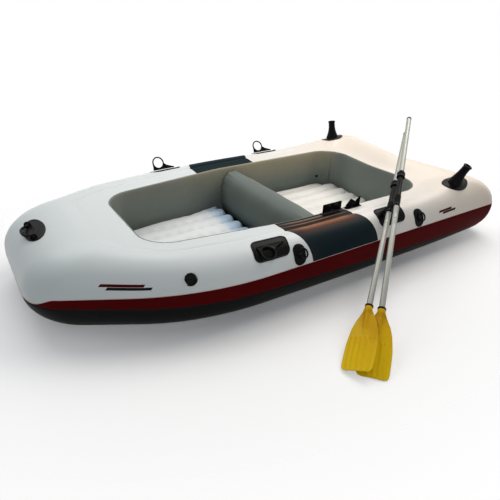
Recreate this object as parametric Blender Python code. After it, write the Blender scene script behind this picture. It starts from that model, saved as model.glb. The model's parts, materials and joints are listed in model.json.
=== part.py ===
"""Inflatable boat with two oars, modelled piece by piece.

Frame: metres, +Z up, the bow points to -X, port is -Y.  The origin is the centre of the flat
bottom.  The hull is one outer air chamber, whose white top reaches in to the cockpit's lip, round
one inner air chamber that forms the cockpit's wall.  A cross tube and two ribbed floor mats lie
inside, on a flat bottom sheet.  Moulded fittings are welded to the skin.
Two oars are stowed on the port side: one runs through the aft oarlock's ring, the other leans on
it, and both blades lie on the ground.
"""
import bmesh
import bpy
import numpy as np
from math import acos, atan2, cos, pi, radians, sin, sqrt, tan
from mathutils import Matrix, Vector
from mathutils.bvhtree import BVHTree

# Clearances
GAP = 0.0003            # between two solids that touch
RUN = 0.0006            # between a piece that moves and its seat
SKIN = 0.0015           # thickness of a welded sheet
PAD = 0.003             # thickness of a moulded pad

# Plan of the outer chamber's outside, half of it: the bow edge, the shoulder and the transom
BOW_X = -1.254
BOW_HALF = 0.302
BOW_RADIUS = 0.207
SHOULDER_X = -0.672
HALF_BEAM = 0.613
SHOULDER_RADIUS = 1.18
STERN_X = 1.225
STERN_RADIUS = 0.080
TRANSOM_X = 1.108

# The web between the two chambers: its foot, as a share of the way in to the cockpit, and its
# head, where the white top is welded to the grey wall, a lip's width short of the cockpit
SEAM_SHARE_BOW = 0.66
SEAM_SHARE_SIDE = 0.60
LIP = 0.010
WEB_CORNER = 0.016
WALL_ROUND = 0.040      # height over which the wall's top rounds over
WALL_FOOT = 0.026

# Plan of the cockpit's wall
RIM_BOW_X = -0.763
RIM_BOW_HALF = 0.292
RIM_BOW_RADIUS = 0.139
RIM_MID_X = -0.077
RIM_HALF = 0.386
RIM_STERN_X = 0.816
RIM_RADIUS = 0.086
RIM_TRANSOM_X = 0.782
MID_RADIUS = 0.45

# Heights
SHEET = 0.003           # thickness of the bottom sheet
TUBE_HEIGHT = 0.295     # outer chamber amidships
END_HEIGHT = 0.332      # outer chamber at bow and stern
LEVEL_HALF = 0.425      # half length over which the height is level
END_RUN = 0.765         # length over which it rises to the ends
RIM_HEIGHT = 0.289      # top of the inner chamber
FLOOR_HEIGHT = 0.082    # top of the floor mats' ribs
RED_TOP = 0.191         # top edge of the red band
RED_BOTTOM = 0.109      # its bottom edge amidships
RED_SLOPE = 0.039       # its bottom edge drops this much a metre towards the stern
BLACK_BOTTOM = 0.020    # bottom edge of the black band

# Sections
CROWN_SHARE = 0.80      # how far in the outer chamber's highest line lies, of its width
CROWN_MOST = 0.260
SIDE_POWER = 2.15       # roundness of the outer chamber's outside, 2 is an ellipse
DECK_ROWS = ((0.34, 0.52), (0.66, 0.12))    # share of the way from crown to lip, and of the drop left
LINE_STEPS = (2, 5, 9, 4)
ARC_STEPS = (5, 2, 4)

# Dark band across both side tubes
BAND_X0 = -0.203        # edges at the seam
BAND_X1 = 0.190
BAND_SLANT0 = 0.052     # how far aft each edge has moved at the boat's side
BAND_SLANT1 = 0.053
BAND_LIP = 0.002        # the band stops this short of the lip

# Cross tube
THWART_X = 0.028
THWART_HALF = 0.100
THWART_TOP = 0.268
THWART_END_SHARE = 0.80

# Floor mats
RIB_PITCH = 0.094
RIB_DEPTH = 0.016
MAT_FOOT = 0.014        # clear of the cross tube at its foot

# Oarlocks: pad, fin and ring
LOCK_X = (-0.335, 0.362)
LOCK_HEIGHT = 0.281
LOCK_LENGTH = 0.172
LOCK_WIDTH = 0.104
LOCK_CORNER = 0.028
FIN_OFFSET = 0.010
FIN_LENGTH = 0.132
FIN_THICK = 0.008
RING_BORE = 0.056
RING_WALL = 0.0075
RING_RISE = 0.0380      # the ring's centre over the fin's foot
RING_AHEAD = 0.026      # and this far forward of the fin's middle
FOLDED = 84.0           # degrees that the forward port ring is folded down

# Grab line eyelets
EYE_X = (-0.217, 0.534)
EYE_HEIGHT = 0.2380
EYE_LENGTH = 0.092
EYE_WIDTH = 0.060
EYE_RING = 0.044        # mean diameter
EYE_WIRE = 0.0052
ARCH_HOLE = 0.0078
ARCH_WIRE = 0.0032

# Bow handle
HANDLE_SIDE = 0.040     # off the centreline, to starboard
HANDLE_HEIGHT = 0.302
HANDLE_LENGTH = 0.205
HANDLE_WIDTH = 0.112
GRIP_LENGTH = 0.150
GRIP_RISE = 0.034
GRIP_WIRE = 0.0105
GRIP_FOLD = 72.0        # degrees that it lies folded towards the bow

# Rod holders
ROD_X = 0.918
ROD_SIDE = 0.500
ROD_LENGTH = 0.164
ROD_WIDTH = 0.112
ROD_RISE = 0.096
ROD_AFT = 0.018
ROD_OUT = 0.042
ROD_FOOT = 0.076
ROD_TUBE = 0.038
ROD_BORE = 0.028

# Air valves
MAIN_VALVE_X = -0.701
MAIN_VALVE_HEIGHT = 0.2405
MAIN_VALVE = 0.056
SMALL_VALVE = 0.026
PLUG_STEM = 0.0045
PLUG_TRAVEL = 0.012

# Oar keeper on the port rim
KEEPER_X0 = 0.052
KEEPER_X1 = 0.168
CLIP_X0 = 0.198
CLIP_X1 = 0.292
KEEPER_SET = 0.002      # clear of the lip
KEEPER_FOOT = 0.032
KEEPER_RISE = 0.042
KEEPER_THICK = 0.004

# Oars
OAR_LENGTH = 1.515
SHAFT = 0.0240
BLADE_LENGTH = 0.287
BLADE_WIDTH = 0.122
BLADE_THICK = 0.0052
BLADE_ARCH = 0.006
FLUTE_DEPTH = 0.0016
HUB = 0.031
COLLAR = 0.037
COLLAR_WIDTH = 0.009
SLEEVE = 0.0290
SLEEVE_LENGTH = 0.235
SLEEVE_BELOW = 0.032    # how far the sleeve reaches below the oarlock
STOP_ABOVE = 0.158      # where the stop ring starts above it
STOP = 0.0400
STOP_LENGTH = 0.034
SPLICE = 0.800          # where the shaft's two halves meet, from the tip
TIP_A = (-0.3215, -1.0748)
TIP_B = (-0.279, -1.118)
TIP_LIFT_A = 0.0255     # the first blade lies on the second, turned a little about its shaft
TIP_LIFT_B = 0.0048
LEAN_AFT = 0.06         # the second oar leans on the ring over its centre, this much aft of it
ROLL_A = 20.0
ROLL_B = 0.0

WHITE = (0.72, 0.74, 0.73)
GREY = (0.19, 0.21, 0.19)
RED = (0.085, 0.008, 0.010)
BLACK = (0.010, 0.011, 0.010)
NAVY = (0.012, 0.022, 0.030)
YELLOW = (0.62, 0.40, 0.015)
METAL = (0.42, 0.43, 0.40)


# Objects and materials
def clear_scene():
    for obj in list(bpy.data.objects):
        bpy.data.objects.remove(obj, do_unlink=True)


def material(name, colour, roughness=0.5, metallic=0.0):
    mat = bpy.data.materials.new(name)
    mat.use_nodes = True
    shader = mat.node_tree.nodes["Principled BSDF"]
    shader.inputs["Base Color"].default_value = (*colour, 1.0)
    shader.inputs["Roughness"].default_value = roughness
    shader.inputs["Metallic"].default_value = metallic
    mat.diffuse_color = (*colour, 1.0)
    return mat


def signed_volume(verts, faces):
    total = 0.0
    for face in faces:
        corner = verts[face[0]]
        for one, two in zip(face[1:-1], face[2:]):
            total += float(corner @ np.cross(verts[one], verts[two]))
    return total / 6.0


def solid(name, verts, faces, colour, roughness=0.5, metallic=0.0):
    """A closed mesh from points and faces, turned so that its faces point out."""
    verts = np.asarray(verts, float)
    faces = [[int(k) for k in face] for face in faces]
    if signed_volume(verts, faces) < 0:
        faces = [face[::-1] for face in faces]
    mesh = bpy.data.meshes.new(name)
    mesh.from_pydata(verts.tolist(), [], faces)
    mesh.validate()
    obj = bpy.data.objects.new(name, mesh)
    bpy.context.scene.collection.objects.link(obj)
    obj.data.materials.append(material(name, colour, roughness, metallic))
    mesh.shade_smooth()
    mesh.set_sharp_from_angle(angle=radians(35))
    return obj


def as_cutter(obj):
    obj.hide_render = True
    obj.display_type = "WIRE"
    return obj


def boolean(obj, cutter, operation):
    mod = obj.modifiers.new(operation.lower(), "BOOLEAN")
    mod.operation = operation
    mod.solver = "EXACT"
    mod.object = cutter
    return mod


def grid_triangles(rows, cols, close_rows, close_cols, turned_from=None):
    """Triangles of a grid of rows by cols points; from one column on, the diagonals run the other way."""
    i = np.arange(rows if close_rows else rows - 1)
    j = np.arange(cols if close_cols else cols - 1)
    i, j = (g.ravel() for g in np.meshgrid(i, j, indexing="ij"))
    i2, j2 = (i + 1) % rows, (j + 1) % cols
    a, b, c, d = i * cols + j, i2 * cols + j, i2 * cols + j2, i * cols + j2
    other = j >= (cols if turned_from is None else turned_from)
    one = np.where(other[:, None], np.c_[a, b, d], np.c_[a, b, c])
    two = np.where(other[:, None], np.c_[b, c, d], np.c_[a, c, d])
    return np.vstack([one, two])


def fan(ring, centre):
    """Triangles from a closed ring of point numbers to one centre."""
    ring = list(ring)
    return [(ring[k], ring[(k + 1) % len(ring)], centre) for k in range(len(ring))]


def lofted(name, sections, colour, roughness=0.5, metallic=0.0):
    """A solid through closed flat sections, with a flat face at each end."""
    sections = np.asarray(sections, float)
    rows, cols = sections.shape[:2]
    faces = grid_triangles(rows, cols, False, True).tolist()
    faces.append(list(range(cols)))
    faces.append(list(range(rows * cols - 1, (rows - 1) * cols - 1, -1)))
    return solid(name, sections.reshape(-1, 3), faces, colour, roughness, metallic)


def closed_ring(name, sections, colour, roughness=0.5, turned_from=None):
    """A solid ring through closed sections, the last one joined to the first."""
    sections = np.asarray(sections, float)
    rows, cols = sections.shape[:2]
    faces = grid_triangles(rows, cols, True, True, turned_from)
    return solid(name, sections.reshape(-1, 3), faces, colour, roughness)


def prism(name, outline, frame, low, high, colour, roughness=0.5):
    """An outline in a frame's first two axes, drawn out along its third."""
    origin, u, v, n = frame
    base = np.array([origin + u * x + v * y for x, y in outline])
    return lofted(name, [base + n * low, base + n * high], colour, roughness)


# Outlines
def rounded_box(length, width, radius, steps=5):
    points = []
    for turn, (sx, sy) in enumerate(((1, 1), (-1, 1), (-1, -1), (1, -1))):
        for k in range(steps + 1):
            a = (turn + k / steps) * pi / 2
            points.append((sx * (length / 2 - radius) + radius * cos(a),
                           sy * (width / 2 - radius) + radius * sin(a)))
    return points


def oval(length, width, steps=22):
    return [(length / 2 * cos(2 * pi * k / steps), width / 2 * sin(2 * pi * k / steps))
            for k in range(steps)]


def unit(vector):
    return vector / np.linalg.norm(vector)


# Plans: straight runs joined by arcs
def half_plan(corners, radii, line_steps, arc_steps):
    corners = [np.array(c, float) for c in corners]
    points = [corners[0]]
    last = corners[0]
    for k in range(1, 4):
        before = unit(corners[k - 1] - corners[k])
        after = unit(corners[k + 1] - corners[k])
        angle = acos(float(before @ after))
        reach = radii[k - 1] / tan(angle / 2)
        start, end = corners[k] + before * reach, corners[k] + after * reach
        centre = corners[k] + unit(before + after) * radii[k - 1] / sin(angle / 2)
        for step in range(1, line_steps[k - 1]):
            points.append(last + (start - last) * step / line_steps[k - 1])
        total = pi - angle
        for step in range(arc_steps[k - 1] + 1):
            f = step / arc_steps[k - 1]
            points.append(centre + ((start - centre) * sin((1 - f) * total)
                                    + (end - centre) * sin(f * total)) / sin(total))
        last = end
    for step in range(1, line_steps[3] + 1):
        points.append(last + (corners[4] - last) * step / line_steps[3])
    return np.array(points)


def nearest_on(curve, point):
    """The point of an open curve that lies nearest."""
    start, run = curve[:-1], np.diff(curve, axis=0)
    share = np.clip(np.sum((point - start) * run, axis=1) / np.sum(run * run, axis=1), 0, 1)
    feet = start + run * share[:, None]
    return feet[np.argmin(np.linalg.norm(feet - point, axis=1))]


def both_sides(half):
    return np.vstack([half, half[1:-1][::-1] * np.array([1, -1])])


def matched_plans():
    """Outside, seam and cockpit wall, with as many points on each and lines straight across."""
    outside = half_plan([(BOW_X, 0), (BOW_X, BOW_HALF), (SHOULDER_X, HALF_BEAM), (STERN_X, HALF_BEAM),
                         (TRANSOM_X, 0)], (BOW_RADIUS, SHOULDER_RADIUS, STERN_RADIUS),
                        LINE_STEPS, ARC_STEPS)
    wall = half_plan([(RIM_BOW_X, 0), (RIM_BOW_X, RIM_BOW_HALF), (RIM_MID_X, RIM_HALF),
                      (RIM_STERN_X, RIM_HALF), (RIM_TRANSOM_X, 0)],
                     (RIM_BOW_RADIUS, MID_RADIUS, RIM_RADIUS), (8, 8, 8, 8), (40, 12, 40))
    rim = np.array([nearest_on(wall, point) for point in outside])
    rim[0, 1] = rim[-1, 1] = 0.0
    share = np.interp(rim[:, 0], (RIM_BOW_X, 0.0), (SEAM_SHARE_BOW, SEAM_SHARE_SIDE))[:, None]
    seam = outside + (rim - outside) * share
    return both_sides(outside), both_sides(seam), both_sides(rim)


OUTSIDE, SEAM, RIM = matched_plans()
STATIONS = len(OUTSIDE)
FIRST_SIDE = LINE_STEPS[0] + ARC_STEPS[0]
SIDE = slice(FIRST_SIDE, STATIONS // 2 - LINE_STEPS[3] - ARC_STEPS[2] + 1)
FLOAT = SHEET + GAP     # underside of everything that lies on the bottom sheet


def tube_half_height(x):
    """Half the outer chamber's height at x: level amidships, rising to both ends."""
    rise = np.clip((np.abs(x + 0.085) - LEVEL_HALF) / END_RUN, 0, 1) ** 2
    return (TUBE_HEIGHT + (END_HEIGHT - TUBE_HEIGHT) * rise - FLOAT) / 2


def signed_power(value, power):
    return np.sign(value) * np.abs(value) ** power


def side_angle(z, half):
    """The section's angle at which its outside is z high."""
    s = np.clip((z - FLOAT - half) / half, -0.98, 0.98)
    return np.arctan2(signed_power(s, SIDE_POWER / 2),
                      (1 - np.abs(s) ** SIDE_POWER) ** 0.5)


def widths(outside, seam):
    width = np.linalg.norm(seam - outside, axis=-1)
    crown = np.minimum(CROWN_SHARE * width, CROWN_MOST)
    return width, crown


def outer_profile(outside, seam, rim):
    """The outer chamber's section at one station: distances in from the outside, and heights."""
    width, crown = widths(outside, seam)
    half = tube_half_height(outside[0])
    low = side_angle(RED_BOTTOM - RED_SLOPE * outside[0], half)
    foot = side_angle(BLACK_BOTTOM, half)
    high = side_angle(RED_TOP, half)
    angles = np.concatenate([[-pi / 2], [foot, (foot + low) / 2, low, (low + high) / 2],
                             high + (pi / 2 - high) * np.arange(5) / 4.0])
    r = crown * (1 - np.cos(angles) ** (2 / SIDE_POWER))
    z = FLOAT + half * (1 + signed_power(np.sin(angles), 2 / SIDE_POWER))
    head = np.linalg.norm(rim - outside) - LIP - GAP / 2
    top = 2 * half + FLOAT
    share, drop = np.array(DECK_ROWS).T
    r2 = np.r_[crown + (head - crown) * share, head, width - GAP / 2, width - WEB_CORNER]
    z2 = np.r_[RIM_HEIGHT + (top - RIM_HEIGHT) * drop, RIM_HEIGHT, FLOAT + WEB_CORNER, FLOAT]
    return np.r_[r, r2], np.r_[z, z2]


FOOT_ROW, LOW_ROW, HIGH_ROW, CROWN_ROW, LIP_ROW = 1, 3, 5, 9, 12
WEB_COLUMN = 8          # of the inner chamber's section: the web's diagonals match the outer one's


def inner_profile(outside, seam, rim):
    """The inner chamber's section: distances in from the outside, and heights, from the lip round."""
    foot = np.linalg.norm(seam - outside) + GAP / 2
    wall = np.linalg.norm(rim - outside)
    head = wall - LIP + GAP / 2
    r = [head, head + LIP * 0.45, head + LIP * 0.80, wall, wall, wall - WALL_FOOT * 0.35,
         wall - WALL_FOOT * 1.2, foot + WEB_CORNER, foot]
    z = [RIM_HEIGHT, RIM_HEIGHT - WALL_ROUND * 0.16, RIM_HEIGHT - WALL_ROUND * 0.46,
         RIM_HEIGHT - WALL_ROUND, FLOAT + WALL_FOOT * 1.5, FLOAT + WALL_FOOT * 0.5, FLOAT, FLOAT,
         FLOAT + WEB_CORNER]
    return np.array(r), np.array(z)


def grown(r, z, distance):
    """A closed section moved outwards by a distance, its edges kept parallel."""
    points = np.c_[r, z]
    ahead = np.roll(points, -1, 0) - points
    ahead /= np.linalg.norm(ahead, axis=1)[:, None]
    area = np.sum(points[:, 0] * np.roll(points[:, 1], -1) - np.roll(points[:, 0], -1) * points[:, 1])
    normal = np.c_[ahead[:, 1], -ahead[:, 0]] * np.sign(area)
    back = np.roll(normal, 1, 0)
    corner = normal + back
    corner /= np.sum(corner * normal, axis=1)[:, None]
    moved = points + corner * distance
    return moved[:, 0], moved[:, 1]


def placed(start, end, r, z):
    """Section points put on the line from one plan point towards another."""
    ahead = (end - start) / np.linalg.norm(end - start)
    return np.c_[start[0] + ahead[0] * r, start[1] + ahead[1] * r, z]


def outer_sections(distance=0.0):
    return np.array([placed(OUTSIDE[k], RIM[k], *grown(*outer_profile(OUTSIDE[k], SEAM[k], RIM[k]),
                                                      distance)) for k in range(STATIONS)])


def inner_sections(distance=0.0):
    return np.array([placed(OUTSIDE[k], RIM[k], *grown(*inner_profile(OUTSIDE[k], SEAM[k], RIM[k]),
                                                      distance)) for k in range(STATIONS)])


def ring_tree(sections):
    rows, cols = sections.shape[:2]
    return BVHTree.FromPolygons(sections.reshape(-1, 3).tolist(),
                                grid_triangles(rows, cols, True, True).tolist())


SKIN_TREE = ring_tree(outer_sections())
PAD_TREE = ring_tree(outer_sections(GAP + PAD))


def band_ring(name, first, last, colour, trim=0.0):
    """A welded band over the outer chamber's rows first to last, a gap and a skin's thickness out."""
    under, over = outer_sections(GAP), outer_sections(GAP + SKIN)
    rows = np.arange(first, last + 1)
    sheets = []
    for sheet in (under[:, rows], over[:, rows]):
        sheet = sheet.copy()
        step = sheet[:, -2] - sheet[:, -1]
        sheet[:, -1] += step / np.linalg.norm(step, axis=1)[:, None] * trim
        sheets.append(sheet)
    both = np.concatenate([sheets[0], sheets[1][:, ::-1]], axis=1)
    closed_ring(name, both, colour, 0.35, turned_from=len(rows))


# Places on the outer chamber
def station_at(side, x=None, y=None):
    """A place along the plan, as a fraction between two stations, on one side of the boat."""
    half = OUTSIDE[:STATIONS // 2 + 1]
    if x is not None:
        last = int(np.argmax(half[:, 0]))
        place = float(np.interp(x, half[:last + 1, 0], np.arange(last + 1)))
    else:
        place = float(np.interp(y, half[:FIRST_SIDE, 1], np.arange(FIRST_SIDE)))
    return place if side > 0 else (STATIONS - place) % STATIONS


def between(curve, place):
    k = int(place) % STATIONS
    f = place - int(place)
    return curve[k] * (1 - f) + curve[(k + 1) % STATIONS] * f


def skin_point(place, angle):
    """The point of the outer chamber's skin at a place along the plan and an angle of its section."""
    outside, seam = between(OUTSIDE, place % STATIONS), between(SEAM, place % STATIONS)
    inwards = unit(seam - outside)
    _, crown = widths(outside, seam)
    half = tube_half_height(outside[0])
    r = crown * (1 - cos(angle) ** (2 / SIDE_POWER))
    z = FLOAT + half * (1 + float(signed_power(sin(angle), 2 / SIDE_POWER)))
    return np.array([outside[0] + inwards[0] * r, outside[1] + inwards[1] * r, z])


def hull_frame(side, z, x=None, y=None):
    """Point, forward-to-aft direction, girth direction and outward normal on the outer chamber."""
    place = station_at(side, x, y)
    half = tube_half_height(between(OUTSIDE, place)[0])
    angle = float(side_angle(min(z, FLOAT + 1.98 * half), half))
    if x is not None:
        for _ in range(6):
            place += (x - skin_point(place, angle)[0]) / (skin_point(place + 0.05, angle)[0]
                                                          - skin_point(place - 0.05, angle)[0]) * 0.1
            half = tube_half_height(skin_point(place, angle)[0])
            angle = float(side_angle(min(z, FLOAT + 1.98 * half), half))
    point = skin_point(place, angle)
    along = skin_point(place + 0.3, angle) - skin_point(place - 0.3, angle)
    girth = skin_point(place, angle + 0.01) - skin_point(place, angle - 0.01)
    outwards = unit(np.cross(along, girth))
    outwards = outwards if outwards[2] > 0 else -outwards
    hit, facet = SKIN_TREE.ray_cast(Vector(point + outwards * 0.03), Vector(-outwards))[:2]
    normal = unit(np.array(facet)) * np.sign(np.array(facet) @ outwards)
    along = unit(along - normal * (along @ normal))
    along = along if along[0] > 0 else -along
    across = np.cross(normal, along)
    return np.array(hit), along, across if across @ girth > 0 else -across, normal


def height_over(tree, frame, spots):
    """How high a grown skin stands over a frame's origin, at the highest of some spots."""
    origin, u, v, n = frame
    heights = []
    for x, y in spots:
        hit = tree.ray_cast(Vector(origin + u * x + v * y + n * 0.04), Vector(-n))[0]
        heights.append(float((np.array(hit) - origin) @ n))
    return max(heights)


def shifted(frame, u=0.0, v=0.0, n=0.0):
    origin, a, b, c = frame
    return origin + a * u + b * v + c * n, a, b, c


def welded_pad(name, outline, frame, thickness, plus, gap_cutter, colour, extras=(), roughness=0.45):
    """A moulded pad that follows the tube: a prism kept between the skin and a grown copy of it."""
    obj = prism(name, outline, frame, -0.045, 0.045, colour, roughness)
    boolean(obj, plus, "INTERSECT")
    for extra in extras:
        boolean(obj, extra, "UNION")
    boolean(obj, gap_cutter, "DIFFERENCE")
    return obj


def arch(name, frame, hole, wire, across, leg=0.006):
    """A half hoop on two legs that stands in a pad; across is the direction that it spans."""
    origin, _, _, n = frame
    middle = hole + wire
    sections = []
    axis = np.cross(across, n)
    for k in range(7):
        a = pi * k / 6
        radial = across * cos(a) + n * sin(a)
        centre = origin + radial * middle
        sections.append([centre + radial * wire * cos(2 * pi * j / 6) + axis * wire * sin(2 * pi * j / 6)
                         for j in range(6)])
    foot = n * leg
    sections = [[p - foot for p in sections[0]]] + sections + [[p - foot for p in sections[-1]]]
    return as_cutter(lofted(name, sections, BLACK))


def torus(name, centre, u, v, mean, wire, colour, around=16, tube=6):
    n = np.cross(u, v)
    sections = []
    for k in range(around):
        a = 2 * pi * k / around
        radial = u * cos(a) + v * sin(a)
        sections.append([centre + radial * (mean + wire * cos(2 * pi * j / tube))
                         + n * wire * sin(2 * pi * j / tube) for j in range(tube)])
    return closed_ring(name, sections, colour, 0.4)


def turned(name, profile, frame, colour, steps=18, roughness=0.45, lobes=0, lobe=0.0):
    """A profile of (radius, height) turned about a frame's normal; it starts and ends on the axis."""
    origin, u, v, n = frame
    ring = []
    for radius, height in profile[1:-1]:
        for k in range(steps):
            a = 2 * pi * k / steps
            scale = 1 + lobe * cos(lobes * a) if lobes else 1.0
            ring.append(origin + (u * cos(a) + v * sin(a)) * radius * scale + n * height)
    rows = len(profile) - 2
    verts = ring + [origin + n * profile[0][1], origin + n * profile[-1][1]]
    body = grid_triangles(rows, steps, False, True)
    first = fan(range(steps), rows * steps)
    last = fan(range(rows * steps - 1, (rows - 1) * steps - 1, -1), rows * steps + 1)
    return solid(name, verts, np.vstack([body, first, last]), colour, roughness)


# The hull
def make_hull():
    closed_ring("outer_chamber", outer_sections(), WHITE, 0.35)
    closed_ring("inner_chamber", inner_sections(), GREY, 0.5, turned_from=WEB_COLUMN)
    band_ring("red_band", LOW_ROW, HIGH_ROW, RED)
    band_ring("black_band", FOOT_ROW, LOW_ROW, BLACK, 0.001)
    edge = []
    for k in range(STATIONS):
        _, crown = widths(OUTSIDE[k], SEAM[k])
        ahead = (SEAM[k] - OUTSIDE[k]) / np.linalg.norm(SEAM[k] - OUTSIDE[k])
        edge.append(OUTSIDE[k] + ahead * (crown - 0.025))
    edge = np.array(edge)
    sections = [np.c_[edge, np.full(STATIONS, z)] for z in (0.0, SHEET)]
    lofted("bottom_sheet", sections, BLACK, 0.5)


def thwart_sections(distance=0.0, reach=0.012):
    """The cross tube: ellipses that narrow to its ends."""
    half_height = (THWART_TOP - FLOAT) / 2
    half_span = RIM_HALF + reach
    sections = []
    for k in range(9):
        y = half_span * (2 * k / 8 - 1)
        share = 1 - (1 - THWART_END_SHARE) * min(1.0, abs(y) / RIM_HALF) ** 3
        rows = []
        for j in range(20):
            a = 2 * pi * j / 20
            rows.append((THWART_X + (THWART_HALF * share + distance) * signed_power(cos(a), 0.85),
                         y, FLOAT + half_height + (half_height + distance) * signed_power(sin(a), 0.85)))
        sections.append(rows)
    return sections


def floor_mat(name, x0, x1, foot_at, cutters):
    """A ribbed air mat: half-round ribs fore and aft, with round ends at the cross tube."""
    count = int(round(2 * (RIM_HALF + 0.03) / RIB_PITCH))
    columns = [(-count / 2 + k / 4) * RIB_PITCH for k in range(4 * count + 1)]
    swell = [abs(sin(pi * k / 4)) ** 0.8 for k in range(4 * count + 1)]
    run = abs(x1 - x0)
    ends = (0.0, 0.018, 0.05, run - 0.05, run - 0.018, run)
    full = (0.45, 0.82, 1.0, 1.0, 0.86, 0.50) if foot_at == "end" else (0.50, 0.86, 1.0, 1.0, 0.82, 0.45)
    sections = []
    for e, f in zip(ends, full):
        top = [(x0 + e, y, FLOAT + (FLOOR_HEIGHT - FLOAT) * f - RIB_DEPTH * (1 - w) * f)
               for y, w in zip(columns, swell)]
        bottom = [(x0 + e, y, FLOAT) for y in reversed(columns[::4])]
        sections.append(top + bottom)
    mat = lofted(name, sections, WHITE, 0.45)
    boolean(mat, cutters[0], "INTERSECT")
    boolean(mat, cutters[1], "DIFFERENCE")
    boolean(mat, cutters[2], "DIFFERENCE")
    return mat


def make_inside(wall_gap):
    tube = lofted("thwart", thwart_sections(), GREY, 0.5)
    boolean(tube, wall_gap, "DIFFERENCE")
    tube_gap = as_cutter(lofted("cut_thwart", thwart_sections(MAT_FOOT, 0.2), GREY))
    inset = []
    for k in range(STATIONS):
        ahead = (RIM[k] - SEAM[k]) / np.linalg.norm(RIM[k] - SEAM[k])
        inset.append(RIM[k] - ahead * 0.0025)
    inset = np.array(inset)
    outline = as_cutter(lofted("cut_cockpit", [np.c_[inset, np.full(STATIONS, z)] for z in (-0.02, 0.12)],
                               WHITE))
    floor_mat("floor_mat_forward", RIM_BOW_X - 0.01, THWART_X, "end", (outline, wall_gap, tube_gap))
    floor_mat("floor_mat_aft", THWART_X, RIM_STERN_X + 0.01, "start", (outline, wall_gap, tube_gap))


def lip_side(x):
    """How far from the centre plane the lip lies beside the cockpit."""
    return float(np.interp(x, RIM[SIDE, 0], RIM[SIDE, 1])) + LIP


def make_saddles(plus, gap, inner_gap):
    """The dark band: a sheet over each side tube, from the lip down to the red band."""
    middle = (BAND_X0 + BAND_X1) / 2
    seam_y = float(np.interp(middle, SEAM[SIDE, 0], SEAM[SIDE, 1]))
    far = HALF_BEAM + 0.05
    slant = (far - seam_y) / (HALF_BEAM - seam_y)
    lip = [(x, lip_side(x) + BAND_LIP) for x in np.linspace(BAND_X0, BAND_X1, 5)]
    outline = lip + [(BAND_X1, seam_y), (BAND_X1 + BAND_SLANT1 * slant, far),
                     (BAND_X0 + BAND_SLANT0 * slant, far), (BAND_X0, seam_y)]
    for side, word in ((-1, "port"), (1, "starboard")):
        frame = (np.zeros(3), np.array([1.0, 0, 0]), np.array([0, float(side), 0]),
                 np.array([0, 0, 1.0]))
        obj = prism("band_" + word, outline, frame, RED_TOP + 0.002, END_HEIGHT + 0.03, NAVY, 0.35)
        boolean(obj, plus, "INTERSECT")
        boolean(obj, gap, "DIFFERENCE")
        boolean(obj, inner_gap, "DIFFERENCE")


# Oarlocks
def ring_fin(name, frame, turn=0.0):
    """A soft ring on a long fin with a round foot; turn folds it about the foot's centre line."""
    origin, u, _, n = frame
    half = FIN_THICK / 2
    bore, out = RING_BORE / 2, RING_BORE / 2 + RING_WALL
    rise = RING_RISE
    spin = Matrix.Rotation(radians(turn), 3, Vector(u))
    up = np.array(spin @ Vector(n))
    thick = np.cross(u, up)
    steps = 24
    inner, outer, edge = [], [], []
    for k in range(steps):
        a = 2 * pi * k / steps + pi / 2
        inner.append((bore * cos(a) - RING_AHEAD, rise + bore * sin(a)))
        x, h = out * cos(a) - RING_AHEAD, rise + out * sin(a)
        ex, eh = (out + half * 0.5) * cos(a) - RING_AHEAD, rise + (out + half * 0.5) * sin(a)
        if sin(a) < -0.3:
            fall = (-sin(a) - 0.3) / 0.7
            spread = min(1.0, 1.30 * abs(cos(a)) ** 0.75)
            x = FIN_LENGTH / 2 * spread * (1 if cos(a) > 1e-6 else -1 if cos(a) < -1e-6 else 0)
            h = max(0.0, h * (1 - fall) ** 2 * 1.1)
            ex, eh = x, h - half * 0.5 if h > 0.002 else -half
        outer.append((x, h))
        edge.append((ex, eh))
    layers = []
    for points, shift in ((inner, -half), (outer, -half), (edge, 0.0), (outer, half), (inner, half)):
        layers += [origin + u * x + up * h + thick * shift for x, h in points]
    return solid(name, np.array(layers), grid_triangles(5, steps, True, True), BLACK, 0.45)


def make_oarlocks(plus, gap_cutter):
    """Four pads, each with its ring; returns the frame at each fin's foot."""
    feet = {}
    outline = rounded_box(LOCK_LENGTH, LOCK_WIDTH, LOCK_CORNER)
    for side, word in ((-1, "port"), (1, "starboard")):
        for x, end in zip(LOCK_X, ("forward", "aft")):
            frame = hull_frame(side, LOCK_HEIGHT, x=x)
            tag = "%s_%s" % (word, end)
            welded_pad("oarlock_pad_" + tag, outline, frame, PAD, plus, gap_cutter, BLACK)
            near = hull_frame(side, LOCK_HEIGHT + frame[2][2] * FIN_OFFSET, x=x)
            spots = [(px, py) for px in (-FIN_LENGTH / 2, 0, FIN_LENGTH / 2) for py in (-0.004, 0, 0.004)]
            lift = height_over(PAD_TREE, near, spots) + GAP + FIN_THICK / 2
            foot = shifted(near, n=lift)
            turn = -side * FOLDED if tag == "port_forward" else 0.0
            ring_fin("oarlock_ring_" + tag, foot, turn)
            feet[tag] = foot
    return feet


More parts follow.
